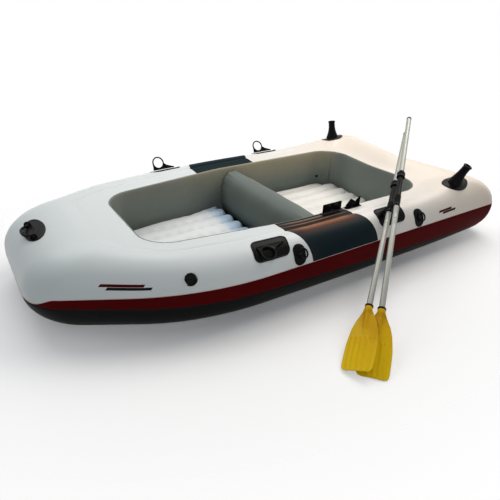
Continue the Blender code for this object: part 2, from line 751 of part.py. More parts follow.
def make_eyelets(plus, gap_cutter):
    joints = {}
    outline = rounded_box(EYE_WIDTH, EYE_LENGTH, EYE_WIDTH / 2 - 0.001, steps=6)
    for side, word in ((-1, "port"), (1, "starboard")):
        for x, end in zip(EYE_X, ("forward", "aft")):
            frame = hull_frame(side, EYE_HEIGHT, x=x)
            tag = "%s_%s" % (word, end)
            top = height_over(PAD_TREE, frame, [(px, py) for px in (-0.01, 0.02, 0.04)
                                                for py in (-EYE_RING / 2, 0, EYE_RING / 2)])
            seat = shifted(frame, u=-0.006, n=top)
            hoop = arch("cut_hoop_" + tag, seat, ARCH_HOLE, ARCH_WIRE, frame[1])
            welded_pad("eyelet_pad_" + tag, outline, frame, PAD, plus, gap_cutter, BLACK, (hoop,))
            wire = EYE_WIRE / 2
            centre = seat[0] + frame[3] * (wire + GAP) + frame[1] * (EYE_RING / 2)
            joints["eyelet_ring_" + tag] = (seat[0] + frame[3] * (wire + GAP), frame[2])
            torus("eyelet_ring_" + tag, centre, frame[1], frame[2], EYE_RING / 2, wire, BLACK)
    return joints


def tube_along(name, path, radius, colour, steps=10, roughness=0.45):
    """A round bar along a flat path of points."""
    path = np.array(path)
    ahead = np.gradient(path, axis=0)
    ahead /= np.linalg.norm(ahead, axis=1)[:, None]
    side = np.cross(path[len(path) // 2] - path[0], path[-1] - path[0])
    side /= np.linalg.norm(side)
    sections = []
    for point, forward in zip(path, ahead):
        up = np.cross(side, forward)
        sections.append([point + side * radius * cos(2 * pi * j / steps) + up * radius * sin(2 * pi * j / steps)
                         for j in range(steps)])
    return lofted(name, sections, colour, roughness)


def make_bow_handle(plus, gap_cutter):
    frame = hull_frame(1, HANDLE_HEIGHT, y=HANDLE_SIDE)
    origin, along, girth, normal = frame
    across = np.array([0.0, 1.0, 0.0]) - normal * normal[1]
    across /= np.linalg.norm(across)
    forward = np.cross(across, normal)
    turned_frame = (origin, across, forward, normal)
    radius = GRIP_WIRE / 2
    axis = GAP + PAD + radius + 0.001
    hoops = []
    for sign in (-1, 1):
        seat = shifted(turned_frame, u=sign * (GRIP_LENGTH / 2 - 0.010), n=axis)
        hoops.append(arch("cut_grip_%d" % (sign + 1), seat, radius + RUN, 0.004, forward, axis + 0.004))
    welded_pad("bow_handle_pad", oval(HANDLE_LENGTH, HANDLE_WIDTH), turned_frame, PAD, plus, gap_cutter,
               BLACK, hoops)
    base = origin + normal * axis
    path = []
    flat = GRIP_LENGTH / 2 - 0.026
    for x in np.linspace(-GRIP_LENGTH / 2, -flat, 3):
        path.append((x, 0.0))
    for k in range(1, 12):
        a = pi * k / 12
        path.append((-flat * cos(a), GRIP_RISE * sin(a) ** 0.7))
    for x in np.linspace(flat, GRIP_LENGTH / 2, 3):
        path.append((x, 0.0))
    bowward = forward if forward[0] < 0 else -forward
    rise = normal * cos(radians(GRIP_FOLD)) + bowward * sin(radians(GRIP_FOLD))
    tube_along("bow_handle_grip", [base + across * x + rise * h for x, h in path], radius, BLACK)
    return base, across


def make_rod_holders(plus, gap_cutter):
    for side, word in ((-1, "port"), (1, "starboard")):
        place = np.array([ROD_X, side * ROD_SIDE])
        top = END_HEIGHT
        up = np.array([0.0, 0.0, 1.0])
        frame = (np.array([place[0], place[1], top - 0.012]), np.array([1.0, 0, 0]),
                 np.array([0, 1.0, 0]), up)
        outline = oval(ROD_LENGTH, ROD_WIDTH, 24)
        axis = np.array([ROD_AFT, side * ROD_OUT, ROD_RISE])
        length = float(np.linalg.norm(axis))
        axis /= length
        u = np.cross(np.array([0, 1.0, 0]), axis)
        u /= np.linalg.norm(u)
        v = np.cross(axis, u)
        base = frame[0] + up * 0.010
        profile = ((-0.016, ROD_FOOT / 2 + 0.004), (0.0, ROD_FOOT / 2), (0.22 * length, ROD_FOOT * 0.36),
                   (0.55 * length, ROD_TUBE / 2 + 0.003), (0.72 * length, ROD_TUBE / 2),
                   (length, ROD_TUBE / 2))
        cone = as_cutter(lofted("cut_cone_" + word, [
            [base + axis * s + (u * cos(2 * pi * j / 16) + v * sin(2 * pi * j / 16)) * r for j in range(16)]
            for s, r in profile], BLACK))
        bore = as_cutter(lofted("cut_bore_" + word, [
            [base + axis * s + (u * cos(2 * pi * j / 16) + v * sin(2 * pi * j / 16)) * ROD_BORE / 2
             for j in range(16)] for s in (0.020, length + 0.01)], BLACK))
        obj = prism("rod_holder_" + word, outline, frame, -0.030, 0.030, BLACK, 0.45)
        boolean(obj, plus, "INTERSECT")
        boolean(obj, cone, "UNION")
        boolean(obj, bore, "DIFFERENCE")
        boolean(obj, gap_cutter, "DIFFERENCE")


def deck_height(x, y, width):
    """The highest point of the outer chamber's top beside the cockpit, over a width about y."""
    place = float(np.interp(x, OUTSIDE[SIDE, 0], np.arange(STATIONS)[SIDE]))
    outside, seam, rim = between(OUTSIDE, place), between(SEAM, place), between(RIM, place)
    r, z = outer_profile(outside, seam, rim)
    across = outside[1] + (rim[1] - outside[1]) * r / np.linalg.norm(rim - outside)
    deck = slice(LIP_ROW, CROWN_ROW - 1, -1)
    return max(float(np.interp(y + d, across[deck], z[deck])) for d in (-width / 2, width / 2))


# Valves
def valve(tag, frame, diameter, gap_cutter, turns):
    """A flange with its cap: the main valve's cap turns, a small valve's plug pulls out."""
    r = diameter / 2
    if turns:
        profile = [(0, -0.012), (r, -0.012), (r, 0.0022), (r * 0.93, 0.0034), (r * 0.80, 0.0038), (0, 0.0038)]
        body = turned("valve_base_" + tag, profile, frame, BLACK, 20)
        cap = [(0, 0.0044), (r * 0.80, 0.0044), (r * 0.84, 0.0062), (r * 0.80, 0.0108), (r * 0.55, 0.0126),
               (0, 0.0130)]
        turned("valve_cap_" + tag, cap, frame, BLACK, 24, 0.4, 8, 0.03)
    else:
        profile = [(0, 0.0012), (PLUG_STEM, 0.0012), (PLUG_STEM, 0.0080), (PLUG_STEM + 0.003, 0.0080),
                   (PLUG_STEM + 0.0042, 0.0034), (r, 0.0022), (r, -0.012), (0, -0.012)]
        body = turned("valve_base_" + tag, profile, frame, WHITE, 16)
        stem = PLUG_STEM - 0.0006
        plug = [(0, 0.0020), (stem, 0.0020), (stem, 0.0084), (PLUG_STEM + 0.0034, 0.0084),
                (PLUG_STEM + 0.0034, 0.0112), (PLUG_STEM + 0.001, 0.0124), (0, 0.0124)]
        turned("valve_plug_" + tag, plug, frame, WHITE, 16)
    boolean(body, gap_cutter, "DIFFERENCE")


def make_valves(outer_gap, inner_gap):
    main_frame = hull_frame(-1, MAIN_VALVE_HEIGHT, x=MAIN_VALVE_X)
    print("valve_cap_outer", np.round(main_frame[0], 5), "axis", np.round(main_frame[3], 5))
    valve("outer", main_frame, MAIN_VALVE, outer_gap, True)
    x, y, z = np.eye(3)
    rim_y = float(np.interp(0.700, RIM[SIDE, 0], RIM[SIDE, 1]))
    valve("inner", (np.array([0.700, rim_y, 0.118]), x, z, -y), SMALL_VALVE, inner_gap, False)
    tube_gap = as_cutter(lofted("cut_thwart_skin", thwart_sections(GAP, 0.02), GREY))
    half_height = (THWART_TOP - FLOAT) / 2
    valve("thwart", (np.array([THWART_X + THWART_HALF * 0.985, 0.24, FLOAT + half_height]), y, z, x),
          SMALL_VALVE, tube_gap, False)
    for name, place in (("floor_forward", (-0.60, -0.188)), ("floor_aft", (0.235, -0.282))):
        row = round(place[1] / RIB_PITCH)
        spot = np.array([place[0], row * RIB_PITCH, FLOOR_HEIGHT])
        block = prism("cut_under_" + name, rounded_box(0.08, 0.08, 0.01), (spot, x, y, z), -0.03, GAP, WHITE)
        valve(name, (spot, x, y, z), SMALL_VALVE, as_cutter(block), False)


def make_keeper(plus, gap, band_gap, band_plus, inner_gap):
    """The oar keeper beside the port lip: a patch on the band with a strap that folds, and a clip."""
    x, y, z = np.eye(3)
    middle = (KEEPER_X0 + CLIP_X1) / 2
    line = -(lip_side(middle) + KEEPER_SET + KEEPER_FOOT / 2)

    def foot(name, x0, x1, plus, gap, extras=()):
        frame = (np.array([(x0 + x1) / 2, line, RIM_HEIGHT]), x, y, z)
        outline = rounded_box(x1 - x0, KEEPER_FOOT, 0.010, 3)
        obj = prism(name, outline, frame, -0.03, 0.03, BLACK)
        boolean(obj, plus, "INTERSECT")
        for extra in extras:
            boolean(obj, extra, "UNION")
        boolean(obj, gap, "DIFFERENCE")
        boolean(obj, inner_gap, "DIFFERENCE")

    top = deck_height(middle, -line, KEEPER_THICK)
    foot("keeper_patch", KEEPER_X0 - 0.008, KEEPER_X1 + 0.008, band_plus, band_gap)
    half = KEEPER_THICK / 2
    axis = top + 2 * GAP + SKIN + PAD + RUN + half
    section = [(half * cos(a), half * sin(a)) for a in np.linspace(pi, 2 * pi, 7)]
    section += [(half, KEEPER_RISE), (-half, KEEPER_RISE)]
    lofted("keeper_strap", [[(px, line + dy, axis + dz) for dy, dz in section]
                            for px in (KEEPER_X0, KEEPER_X1)], BLACK)
    third = (CLIP_X1 - CLIP_X0) / 3
    rise = top + KEEPER_RISE
    outline = [(CLIP_X0, top - 0.006), (CLIP_X1, top - 0.006), (CLIP_X1, rise + 0.010),
               (CLIP_X1 - third * 0.9, rise - 0.018), (CLIP_X0 + third, rise + 0.004),
               (CLIP_X0, rise - 0.028)]
    plate = as_cutter(prism("cut_clip_plate", outline, (np.array([0.0, line, 0.0]), x, z, y), -half, half,
                            BLACK))
    foot("keeper_clip", CLIP_X0 - 0.002, CLIP_X1 + 0.004, plus, gap, (plate,))
    return np.array([(KEEPER_X0 + KEEPER_X1) / 2, line, axis])


# Oars
def ring_room(point, ahead, centre, u, n):
    """Least distance from a straight line to the edges of an oarlock's ring."""
    thick = np.cross(u, n)
    half = FIN_THICK / 2
    out = RING_BORE / 2 + RING_WALL
    room = []
    for radius, shift in ((RING_BORE / 2 * cos(pi / 24), half), (RING_BORE / 2 * cos(pi / 24), -half),
                          (out, half), (out, -half), (out + half / 2, 0.0)):
        a = np.linspace(0, 2 * pi, 361)
        offset = (centre + thick * shift + np.outer(np.cos(a), u * radius)
                  + np.outer(np.sin(a), n * radius) - point)
        offset -= np.outer(offset @ ahead, ahead)
        room.append(float(np.linalg.norm(offset, axis=1).min()))
    return min(room)


def oar_line_through(tip, foot, radius):
    """The first oar: it lies in the ring, low in the bore."""
    origin, u, v, n = foot
    centre = origin + n * RING_RISE - u * RING_AHEAD
    low, high = 0.0, RING_BORE / 2
    for _ in range(40):
        middle = (low + high) / 2
        through = centre - n * middle
        free = ring_room(through, unit(through - tip), centre, u, n) - radius - GAP
        low, high = (middle, high) if free > 0 else (low, middle)
    return centre, centre - n * low


def oar_line_beside(tip, foot, centre, radius, towards):
    """The second oar: it leans on the ring's outside."""
    origin, u, v, n = foot
    low, high = RING_BORE / 2, RING_BORE * 2
    for _ in range(40):
        middle = (low + high) / 2
        through = centre + towards * middle
        free = ring_room(through, unit(through - tip), centre, u, n) - radius - GAP
        low, high = (low, middle) if free > 0 else (middle, high)
    return centre + towards * high


def blade_sections(tip, ahead, across, face):
    """The blade, tip to hub: a thin arched and fluted plate that closes round the shaft."""
    sections = []
    for s, half, thick, flute in (
            (0.000, 0.360, 0.7, 0.0), (0.010, 0.430, 1.0, 0.2), (0.047, 0.470, 1.0, 0.5),
            (0.156, 0.495, 1.0, 1.0), (0.338, 0.500, 1.0, 1.0), (0.494, 0.475, 1.0, 1.0),
            (0.532, 0.465, 1.1, 0.2), (0.649, 0.420, 1.3, 0.0), (0.779, 0.325, 1.7, 0.0),
            (0.870, 0.215, 2.4, 0.0), (0.940, 0.135, 3.6, 0.0)):
        w = BLADE_WIDTH * half
        centre = tip + ahead * s * BLADE_LENGTH
        arch_depth = BLADE_ARCH * min(1.0, half * 2)
        row = []
        for k in range(24):
            upper = k <= 12
            x = 1 - k / 6 if upper else -1 + (k - 12) / 6
            edge = BLADE_THICK / 2 * thick * sqrt(1 - abs(x) ** 6)
            wave = FLUTE_DEPTH * flute * (1 - abs(x) ** 6) * cos(6 * pi * x)
            level = (edge if upper else -edge) - arch_depth * x * x + wave
            row.append(centre + across * w * x + face * level)
        sections.append(row)
    for s in (BLADE_LENGTH - 0.012, BLADE_LENGTH):
        centre = tip + ahead * s
        sections.append([centre + (across * cos(2 * pi * k / 24) + face * sin(2 * pi * k / 24)) * HUB / 2
                         for k in range(24)])
    return sections


def bar(name, tip, ahead, across, face, start, end, radii, colour, bore=0.0, roughness=0.4, metallic=0.0,
        steps=14):
    """A round piece on the oar's axis; with a bore it is a sleeve round the shaft."""
    sections = []
    stations = np.linspace(start, end, len(radii))
    if len(radii) == 4:
        stations = (start, start + 0.004, end - 0.004, end)
    for s, r in zip(stations, radii):
        sections.append([tip + ahead * s + (across * cos(2 * pi * j / steps) + face * sin(2 * pi * j / steps)) * r
                         for j in range(steps)])
    if not bore:
        return lofted(name, sections, colour, roughness, metallic)
    inside = []
    for s in (end, start):
        inside.append([tip + ahead * s + (across * cos(2 * pi * j / steps)
                                          + face * sin(2 * pi * j / steps)) * bore for j in range(steps)])
    rows = np.array(sections + inside)
    verts = rows.reshape(-1, 3)
    return solid(name, verts, grid_triangles(len(rows), steps, True, True), colour, roughness, metallic)


def make_oar(tag, tip, through, roll, sleeve_start, stop_start):
    """One oar: blade, collar, two shaft halves, sleeve, stop ring and end cap."""
    ahead = unit(through - tip)
    level = unit(np.cross(ahead, np.array([0, 0, 1.0])))
    up = np.cross(level, ahead)
    across = level * cos(radians(roll)) + up * sin(radians(roll))
    face = np.cross(across, ahead)
    r = SHAFT / 2
    lofted("blade_" + tag, blade_sections(tip, ahead, across, face), YELLOW, 0.35)
    s = BLADE_LENGTH + GAP
    bar("blade_collar_" + tag, tip, ahead, across, face, s, s + COLLAR_WIDTH,
        (COLLAR / 2 - 0.001, COLLAR / 2, COLLAR / 2 - 0.001), BLACK, r + GAP)
    splice = SPLICE
    bar("shaft_lower_" + tag, tip, ahead, across, face, s, splice, (r, r), METAL, 0, 0.35, 0.8)
    bar("shaft_upper_" + tag, tip, ahead, across, face, splice + GAP, OAR_LENGTH - 0.012 - GAP, (r, r),
        METAL, 0, 0.35, 0.8)
    bar("oar_sleeve_" + tag, tip, ahead, across, face, sleeve_start, sleeve_start + SLEEVE_LENGTH,
        (SLEEVE / 2 - 0.001, SLEEVE / 2, SLEEVE / 2, SLEEVE / 2 - 0.001), BLACK, r + GAP)
    bar("stop_ring_" + tag, tip, ahead, across, face, stop_start, stop_start + STOP_LENGTH,
        (STOP / 2 - 0.002, STOP / 2, STOP / 2, STOP / 2 - 0.002), BLACK, SLEEVE / 2 + GAP)
    bar("end_cap_" + tag, tip, ahead, across, face, OAR_LENGTH - 0.012, OAR_LENGTH,
        (r + 0.0006, r + 0.0006, r * 0.72), BLACK)
    return ahead


def make_oars(foot):
    sleeve = SLEEVE / 2
    tip_a = np.array([TIP_A[0], TIP_A[1], TIP_LIFT_A])
    centre, through = oar_line_through(tip_a, foot, sleeve)
    near = float(np.linalg.norm(through - tip_a))
    make_oar("a", tip_a, through, ROLL_A, near - SLEEVE_BELOW, near + STOP_ABOVE)
    tip_b = np.array([TIP_B[0], TIP_B[1], TIP_LIFT_B])
    towards = unit(foot[1] * LEAN_AFT + foot[3])
    beside = oar_line_beside(tip_b, foot, centre, sleeve, towards)
    near_b = float(np.linalg.norm(beside - tip_b))
    make_oar("b", tip_b, beside, ROLL_B, near_b - SLEEVE_BELOW, near_b + STOP_ABOVE)
    for tag, tip, point in (("a", tip_a, through), ("b", tip_b, beside)):
        ahead = unit(point - tip)
        print("oar", tag, "tip", np.round(tip, 4), "axis", np.round(ahead, 5),
              "end", np.round(tip + ahead * OAR_LENGTH, 3))
    a, b = unit(through - tip_a), unit(beside - tip_b)
    steps = np.linspace(0.40, OAR_LENGTH, 120)
    pa, pb = tip_a + np.outer(steps, a), tip_b + np.outer(steps, b)
    least = float(np.linalg.norm(pa[:, None] - pb[None], axis=2).min())
    print("least distance between the two shafts' axes %.4f m" % least)


def main():
    clear_scene()
    make_hull()
    outer_gap = as_cutter(closed_ring("cut_outer_gap", outer_sections(GAP), WHITE))
    outer_skin = as_cutter(closed_ring("cut_outer_skin", outer_sections(GAP + SKIN), WHITE))
    outer_pad = as_cutter(closed_ring("cut_outer_pad", outer_sections(GAP + PAD), WHITE))
    inner_gap = as_cutter(closed_ring("cut_inner_gap", inner_sections(GAP), WHITE, turned_from=WEB_COLUMN))
    over_band = as_cutter(closed_ring("cut_over_band", outer_sections(2 * GAP + SKIN), WHITE))
    on_band = as_cutter(closed_ring("cut_on_band", outer_sections(2 * GAP + SKIN + PAD), WHITE))
    make_inside(inner_gap)
    make_saddles(outer_skin, outer_gap, inner_gap)
    feet = make_oarlocks(outer_pad, outer_gap)
    eyes = make_eyelets(outer_pad, outer_gap)
    grip = make_bow_handle(outer_pad, outer_gap)
    make_rod_holders(outer_pad, outer_gap)
    make_valves(outer_gap, inner_gap)
    strap = make_keeper(outer_pad, outer_gap, over_band, on_band, inner_gap)
    print("keeper strap axis", np.round(strap, 4))
    make_oars(feet["port_aft"])
    for tag, (origin, u, v, n) in feet.items():
        print("ring foot", tag, np.round(origin, 5), "axis", np.round(u, 5), "normal", np.round(n, 5))
    for tag, (origin, axis) in eyes.items():
        print("hinge", tag, np.round(origin, 5), "axis", np.round(axis, 5))
    print("hinge bow_handle_grip", np.round(grip[0], 5), "axis", np.round(grip[1], 5))


main()
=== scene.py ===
# %% [markdown]
# # An inflatable boat with two oars, dressed for the camera
# The imported CAD model gives every place and every moving part.  Here each air chamber, mat, pad,
# ring and oar gets the smooth form and the finish of the real thing.  We start by loading the
# frame, with a few helpers that every later cell uses.

# %% Load the frame
import json

import bpy
import numpy as np
from math import cos, pi, radians, sin, sqrt
from mathutils import Matrix, Vector


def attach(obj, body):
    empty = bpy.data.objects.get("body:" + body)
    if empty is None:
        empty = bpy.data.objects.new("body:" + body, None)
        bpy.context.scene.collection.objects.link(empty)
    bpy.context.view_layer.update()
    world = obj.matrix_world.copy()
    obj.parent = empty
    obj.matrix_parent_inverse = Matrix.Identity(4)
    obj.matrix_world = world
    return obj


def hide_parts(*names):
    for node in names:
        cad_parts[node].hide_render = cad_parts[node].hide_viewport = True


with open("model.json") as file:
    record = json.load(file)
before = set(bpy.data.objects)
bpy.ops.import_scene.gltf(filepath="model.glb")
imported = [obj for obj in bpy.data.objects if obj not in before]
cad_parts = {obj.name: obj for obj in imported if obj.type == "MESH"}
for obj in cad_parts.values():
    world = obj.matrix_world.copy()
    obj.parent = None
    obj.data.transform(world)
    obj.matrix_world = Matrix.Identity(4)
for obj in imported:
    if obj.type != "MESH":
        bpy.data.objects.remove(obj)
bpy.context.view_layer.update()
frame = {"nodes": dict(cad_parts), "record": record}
nodes = frame["nodes"]
JOINTS = {j["name"]: j for j in frame["record"]["behaviour"]["joints"]}
SIDES = ((-1, "port"), (1, "starboard"))
CORNERS = [(side, "%s_%s" % (word, end), k) for side, word in SIDES
           for k, end in enumerate(("forward", "aft"))]


def unit(v):
    """A vector, or each row of an array, divided by its length."""
    v = np.asarray(v, float)
    return v / np.linalg.norm(v, axis=-1, keepdims=True)


def held(value):
    """A value held between 0 and 1."""
    return np.clip(value, 0, 1)


def quarter(value):
    """A quarter circle: it rises steeply from 0 and reaches 1, level, where the value is 1."""
    return np.sqrt(1 - (1 - held(value)) ** 2)


def bump(x, centre, width):
    """A bell curve: 1 at its centre, falling with the square of the distance."""
    return np.exp(-((x - centre) / width) ** 2)


def circle(count):
    """Angles of points evenly spaced round a circle."""
    return np.linspace(0, 2 * pi, count, endpoint=False)


def round_about(count, u, v):
    """A circle of points about the origin, in the plane of two directions."""
    t = circle(count)
    return np.outer(np.cos(t), u) + np.outer(np.sin(t), v)


def cad_points(name):
    """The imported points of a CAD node, in the shared frame."""
    obj = nodes[name]
    flat = np.empty(3 * len(obj.data.vertices))
    obj.data.vertices.foreach_get("co", flat)
    world = np.array(obj.matrix_world)
    return flat.reshape(-1, 3) @ world[:3, :3].T + world[:3, 3]


def hinge(name):
    """A joint's place and its direction."""
    joint = JOINTS[name]
    return np.array(joint["pos_m"], float), unit(joint["axis"])


# %% [markdown]
# ## Camera, floor and light
# The camera stands where a fit of the photograph's outlines put it: to port and ahead of the
# boat, a little above it.  The floor is plain and pale, and broad soft lamps stand round it, as
# in a product photograph, so that glossy vinyl shows long soft highlights.

# %% Camera
CAMERA_AT = np.array([-1.3473, -1.9117, 1.2053])
CAMERA_TARGET = np.array([-0.3097, -0.3511, 0.1700])
CAMERA_ROLL = radians(1.73)
LENS = 33.72


def linked(name, data):
    """A new object of the scene."""
    obj = bpy.data.objects.new(name, data)
    bpy.context.scene.collection.objects.link(obj)
    return obj


def make_camera():
    """A camera that looks from its place to its target, turned about its line of sight."""
    ahead = unit(CAMERA_TARGET - CAMERA_AT)
    right = unit(np.cross(ahead, (0, 0, 1)))
    up = np.cross(right, ahead)
    rolled = cos(CAMERA_ROLL) * right + sin(CAMERA_ROLL) * up
    raised = cos(CAMERA_ROLL) * up - sin(CAMERA_ROLL) * right
    data = bpy.data.cameras.new("camera")
    data.lens, data.sensor_width = LENS, 36.0
    data.clip_start, data.clip_end = 0.05, 60.0
    place = Matrix((rolled, raised, -ahead)).transposed().to_4x4()
    place.translation = Vector(CAMERA_AT)
    camera = linked("camera", data)
    camera.matrix_world = place
    bpy.context.scene.camera = camera


make_camera()
print("camera", CAMERA_AT.tolist(), "lens", LENS)

# %% [markdown]
# ## Nodes in few words
# A material is a tree of nodes.  These helpers add a node, feed its inputs with links or with
# numbers, and give back its output, so that a finish further on reads like a formula.

# %% Node helpers
def feed(tree, value, socket):
    """Links a socket to another one, or sets it; three numbers make a colour."""
    if isinstance(value, bpy.types.NodeSocket):
        tree.links.new(value, socket)
    elif value is not None:
        socket.default_value = (*value, 1.0) if socket.type == "RGBA" else value


def add(tree, kind, group=None, **inputs):
    """A node with its inputs set or linked; an underscore in a name stands for a space."""
    made = tree.nodes.new(kind)
    if group:
        made.node_tree = group
    for name, value in inputs.items():
        feed(tree, value, made.inputs[name.replace("_", " ")])
    return made


def use_group(tree, group, **inputs):
    """The outputs of a group's node, with its inputs fed."""
    return add(tree, "ShaderNodeGroup", group, **inputs).outputs


def new_group(name, inputs, outputs):
    """A node group with float inputs (name, value) and float outputs, and its two ends."""
    group = bpy.data.node_groups.new(name, "ShaderNodeTree")
    for label, value in inputs:
        made = group.interface.new_socket(label, in_out="INPUT", socket_type="NodeSocketFloat")
        made.default_value = value
    for label in outputs:
        group.interface.new_socket(label, in_out="OUTPUT", socket_type="NodeSocketFloat")
    ends = group.nodes.new("NodeGroupInput").outputs, group.nodes.new("NodeGroupOutput").inputs
    return (group, *ends)


def maths(tree, operation, a, b=0.0, c=None, clamp=False):
    """A Math node; a, b and c are sockets or numbers."""
    made = tree.nodes.new("ShaderNodeMath")
    made.operation, made.use_clamp = operation, clamp
    for value, socket in zip((a, b, c), made.inputs):
        feed(tree, value, socket)
    return made.outputs[0]


def spread(tree, value, gain, base, clamp=False):
    """A value's distance from one half, times a gain, over a base."""
    return maths(tree, "MULTIPLY_ADD", maths(tree, "SUBTRACT", value, 0.5), gain, base, clamp)


def mix_colour(tree, factor, a, b):
    """A Mix node for two colours, each a socket or three numbers."""
    made = tree.nodes.new("ShaderNodeMix")
    made.data_type = "RGBA"
    for value, k in ((factor, 0), (a, 6), (b, 7)):
        feed(tree, value, made.inputs[k])
    return made.outputs[2]


def ramp(tree, factor, stops, smooth=True):
    """A colour ramp through (position, colour) stops."""
    made = add(tree, "ShaderNodeValToRGB", Fac=factor)
    made.color_ramp.interpolation = "EASE" if smooth else "LINEAR"
    elements = made.color_ramp.elements
    elements.remove(elements[-1])
    for k, (position, colour) in enumerate(stops):
        element = elements[0] if k == 0 else elements.new(position)
        element.position, element.color = position, (*colour, 1.0)
    return made.outputs[0]


def noise(tree, place, scale, detail, roughness=0.5):
    """The value of a noise texture at a place."""
    return add(tree, "ShaderNodeTexNoise", Vector=place, Scale=scale, Detail=detail,
               Roughness=roughness).outputs["Fac"]


def own_place(tree):
    """The object's own coordinates, whole and split into X, Y and Z."""
    place = add(tree, "ShaderNodeTexCoord").outputs["Object"]
    return place, add(tree, "ShaderNodeSeparateXYZ", Vector=place).outputs


# %% Floor and light
FLOOR_SIZE, FADE_START, FADE_END, FADE_X_SHARE = 30.0, 0.62, 1.70, 0.74
WORLD_STRENGTH = 0.26


def new_material(name):
    """A material with nodes, its tree and its shader."""
    mat = bpy.data.materials.new(name)
    mat.use_nodes = True
    return mat, mat.node_tree, mat.node_tree.nodes["Principled BSDF"]


def make_floor():
    """A white floor that fades to clear over an oval round the boat, to show no horizon."""
    s = FLOOR_SIZE / 2
    mesh = bpy.data.meshes.new("floor")
    mesh.from_pydata([(-s, -s, 0), (s, -s, 0), (s, s, 0), (-s, s, 0)], [], [(0, 1, 2, 3)])
    mat, tree, shader = new_material("pale_floor")
    feed(tree, (1.0, 1.0, 1.0), shader.inputs["Base Color"])
    feed(tree, 0.9, shader.inputs["Roughness"])
    place = add(tree, "ShaderNodeTexCoord").outputs["Object"]
    oval_map = add(tree, "ShaderNodeMapping", Vector=place, Scale=(FADE_X_SHARE, 1.0, 1.0))
    reach = add(tree, "ShaderNodeVectorMath")
    reach.operation = "LENGTH"
    feed(tree, oval_map.outputs["Vector"], reach.inputs[0])
    fade = add(tree, "ShaderNodeMapRange", Value=reach.outputs["Value"], From_Min=FADE_START,
               From_Max=FADE_END)
    fade.interpolation_type = "SMOOTHSTEP"
    mix = add(tree, "ShaderNodeMixShader", Fac=fade.outputs["Result"])
    feed(tree, shader.outputs[0], mix.inputs[1])
    feed(tree, add(tree, "ShaderNodeBsdfTransparent").outputs[0], mix.inputs[2])
    feed(tree, mix.outputs[0], tree.nodes["Material Output"].inputs["Surface"])
    mesh.materials.append(mat)
    linked("floor", mesh)


def area_lamp(name, place, target, size, power, colour=(1, 1, 1)):
    """A rectangular lamp that faces its target."""
    data = bpy.data.lights.new(name, "AREA")
    data.shape, data.size, data.size_y = "RECTANGLE", size[0], size[1]
    data.energy, data.color = power, colour
    obj = linked(name, data)
    obj.location = place
    obj.rotation_mode = "QUATERNION"
    obj.rotation_quaternion = (Vector(target) - Vector(place)).to_track_quat("-Z", "Y")


def make_world():
    """Pale light from all round; camera, glossy and transmitted rays see plain white."""
    world = bpy.data.worlds.new("studio")
    bpy.context.scene.world = world
    world.use_nodes = True
    tree = world.node_tree
    tree.nodes.clear()
    light = add(tree, "ShaderNodeBackground", Color=(0.93, 0.96, 1.0), Strength=WORLD_STRENGTH)
    seen = add(tree, "ShaderNodeBackground", Color=(1, 1, 1), Strength=1.0)
    path = add(tree, "ShaderNodeLightPath").outputs
    white = maths(tree, "MAXIMUM", path["Is Camera Ray"], path["Is Glossy Ray"])
    white = maths(tree, "MAXIMUM", white, path["Is Transmission Ray"])
    mix = add(tree, "ShaderNodeMixShader", Fac=white)
    feed(tree, light.outputs[0], mix.inputs[1])
    feed(tree, seen.outputs[0], mix.inputs[2])
    feed(tree, mix.outputs[0], add(tree, "ShaderNodeOutputWorld").inputs["Surface"])


make_floor()
make_world()
area_lamp("key", (2.6, 0.6, 3.4), (0.1, 0, 0.2), (3.0, 2.4), 124, (1.0, 0.96, 0.90))
area_lamp("fill", (-2.6, -3.4, 2.6), (-0.1, -0.1, 0.2), (3.2, 2.4), 33, (0.94, 0.97, 1.0))
area_lamp("top", (-0.6, 2.4, 3.2), (-0.1, 0, 0.2), (3.4, 2.0), 64)
bpy.context.scene.view_settings.view_transform = "Standard"

# %% [markdown]
# ## The hull's plan
# Seen from above, a boat of this kind is three nested outlines: the outside of the outer
# chamber, the seam where it is welded to the inner chamber, and the wall of the cockpit.  Each is
# made of straight runs and arcs, as a pattern cutter draws it, and here they are sampled finely.
# A place on the hull is then one number along these outlines, and an angle round the tube.

# %% Plan
GAP = 0.0003
BOW_X, BOW_HALF, BOW_RADIUS = -1.254, 0.302, 0.207
SHOULDER_X, HALF_BEAM, SHOULDER_RADIUS = -0.672, 0.613, 1.18
STERN_X, STERN_RADIUS, TRANSOM_X = 1.225, 0.080, 1.108
SEAM_SHARE_BOW, SEAM_SHARE_SIDE = 0.66, 0.60
RIM_BOW_X, RIM_BOW_HALF, RIM_BOW_RADIUS = -0.763, 0.292, 0.139
RIM_MID_X, RIM_HALF, MID_RADIUS = -0.077, 0.386, 0.45
RIM_STERN_X, RIM_RADIUS, RIM_TRANSOM_X = 0.816, 0.150, 0.782


def outline_half(corners, radii, spacing):
    """Half an outline: straight runs between corners, each rounded by an arc of its radius."""
    corners = np.array(corners, float)
    pieces = []
    last = corners[0]
    for k in range(1, 4):
        before, after = unit(corners[k - 1] - corners[k]), unit(corners[k + 1] - corners[k])
        angle = np.arccos(before @ after)
        reach = radii[k - 1] / np.tan(angle / 2)
        start, end = corners[k] + before * reach, corners[k] + after * reach
        centre = corners[k] + unit(before + after) * radii[k - 1] / np.sin(angle / 2)
        total = pi - angle
        f = np.linspace(0, 1, max(6, int(radii[k - 1] * total / spacing)))[:, None]
        line = np.linspace(0, 1, max(3, int(np.linalg.norm(start - last) / spacing)))[:-1, None]
        pieces.append(last + (start - last) * line)
        pieces.append((centre + ((start - centre) * np.sin((1 - f) * total)
                                 + (end - centre) * np.sin(f * total)) / np.sin(total))[:-1])
        last = end
    line = np.linspace(0, 1, max(3, int(np.linalg.norm(corners[4] - last) / spacing)))[:, None]
    pieces.append(last + (corners[4] - last) * line)
    return np.vstack(pieces)


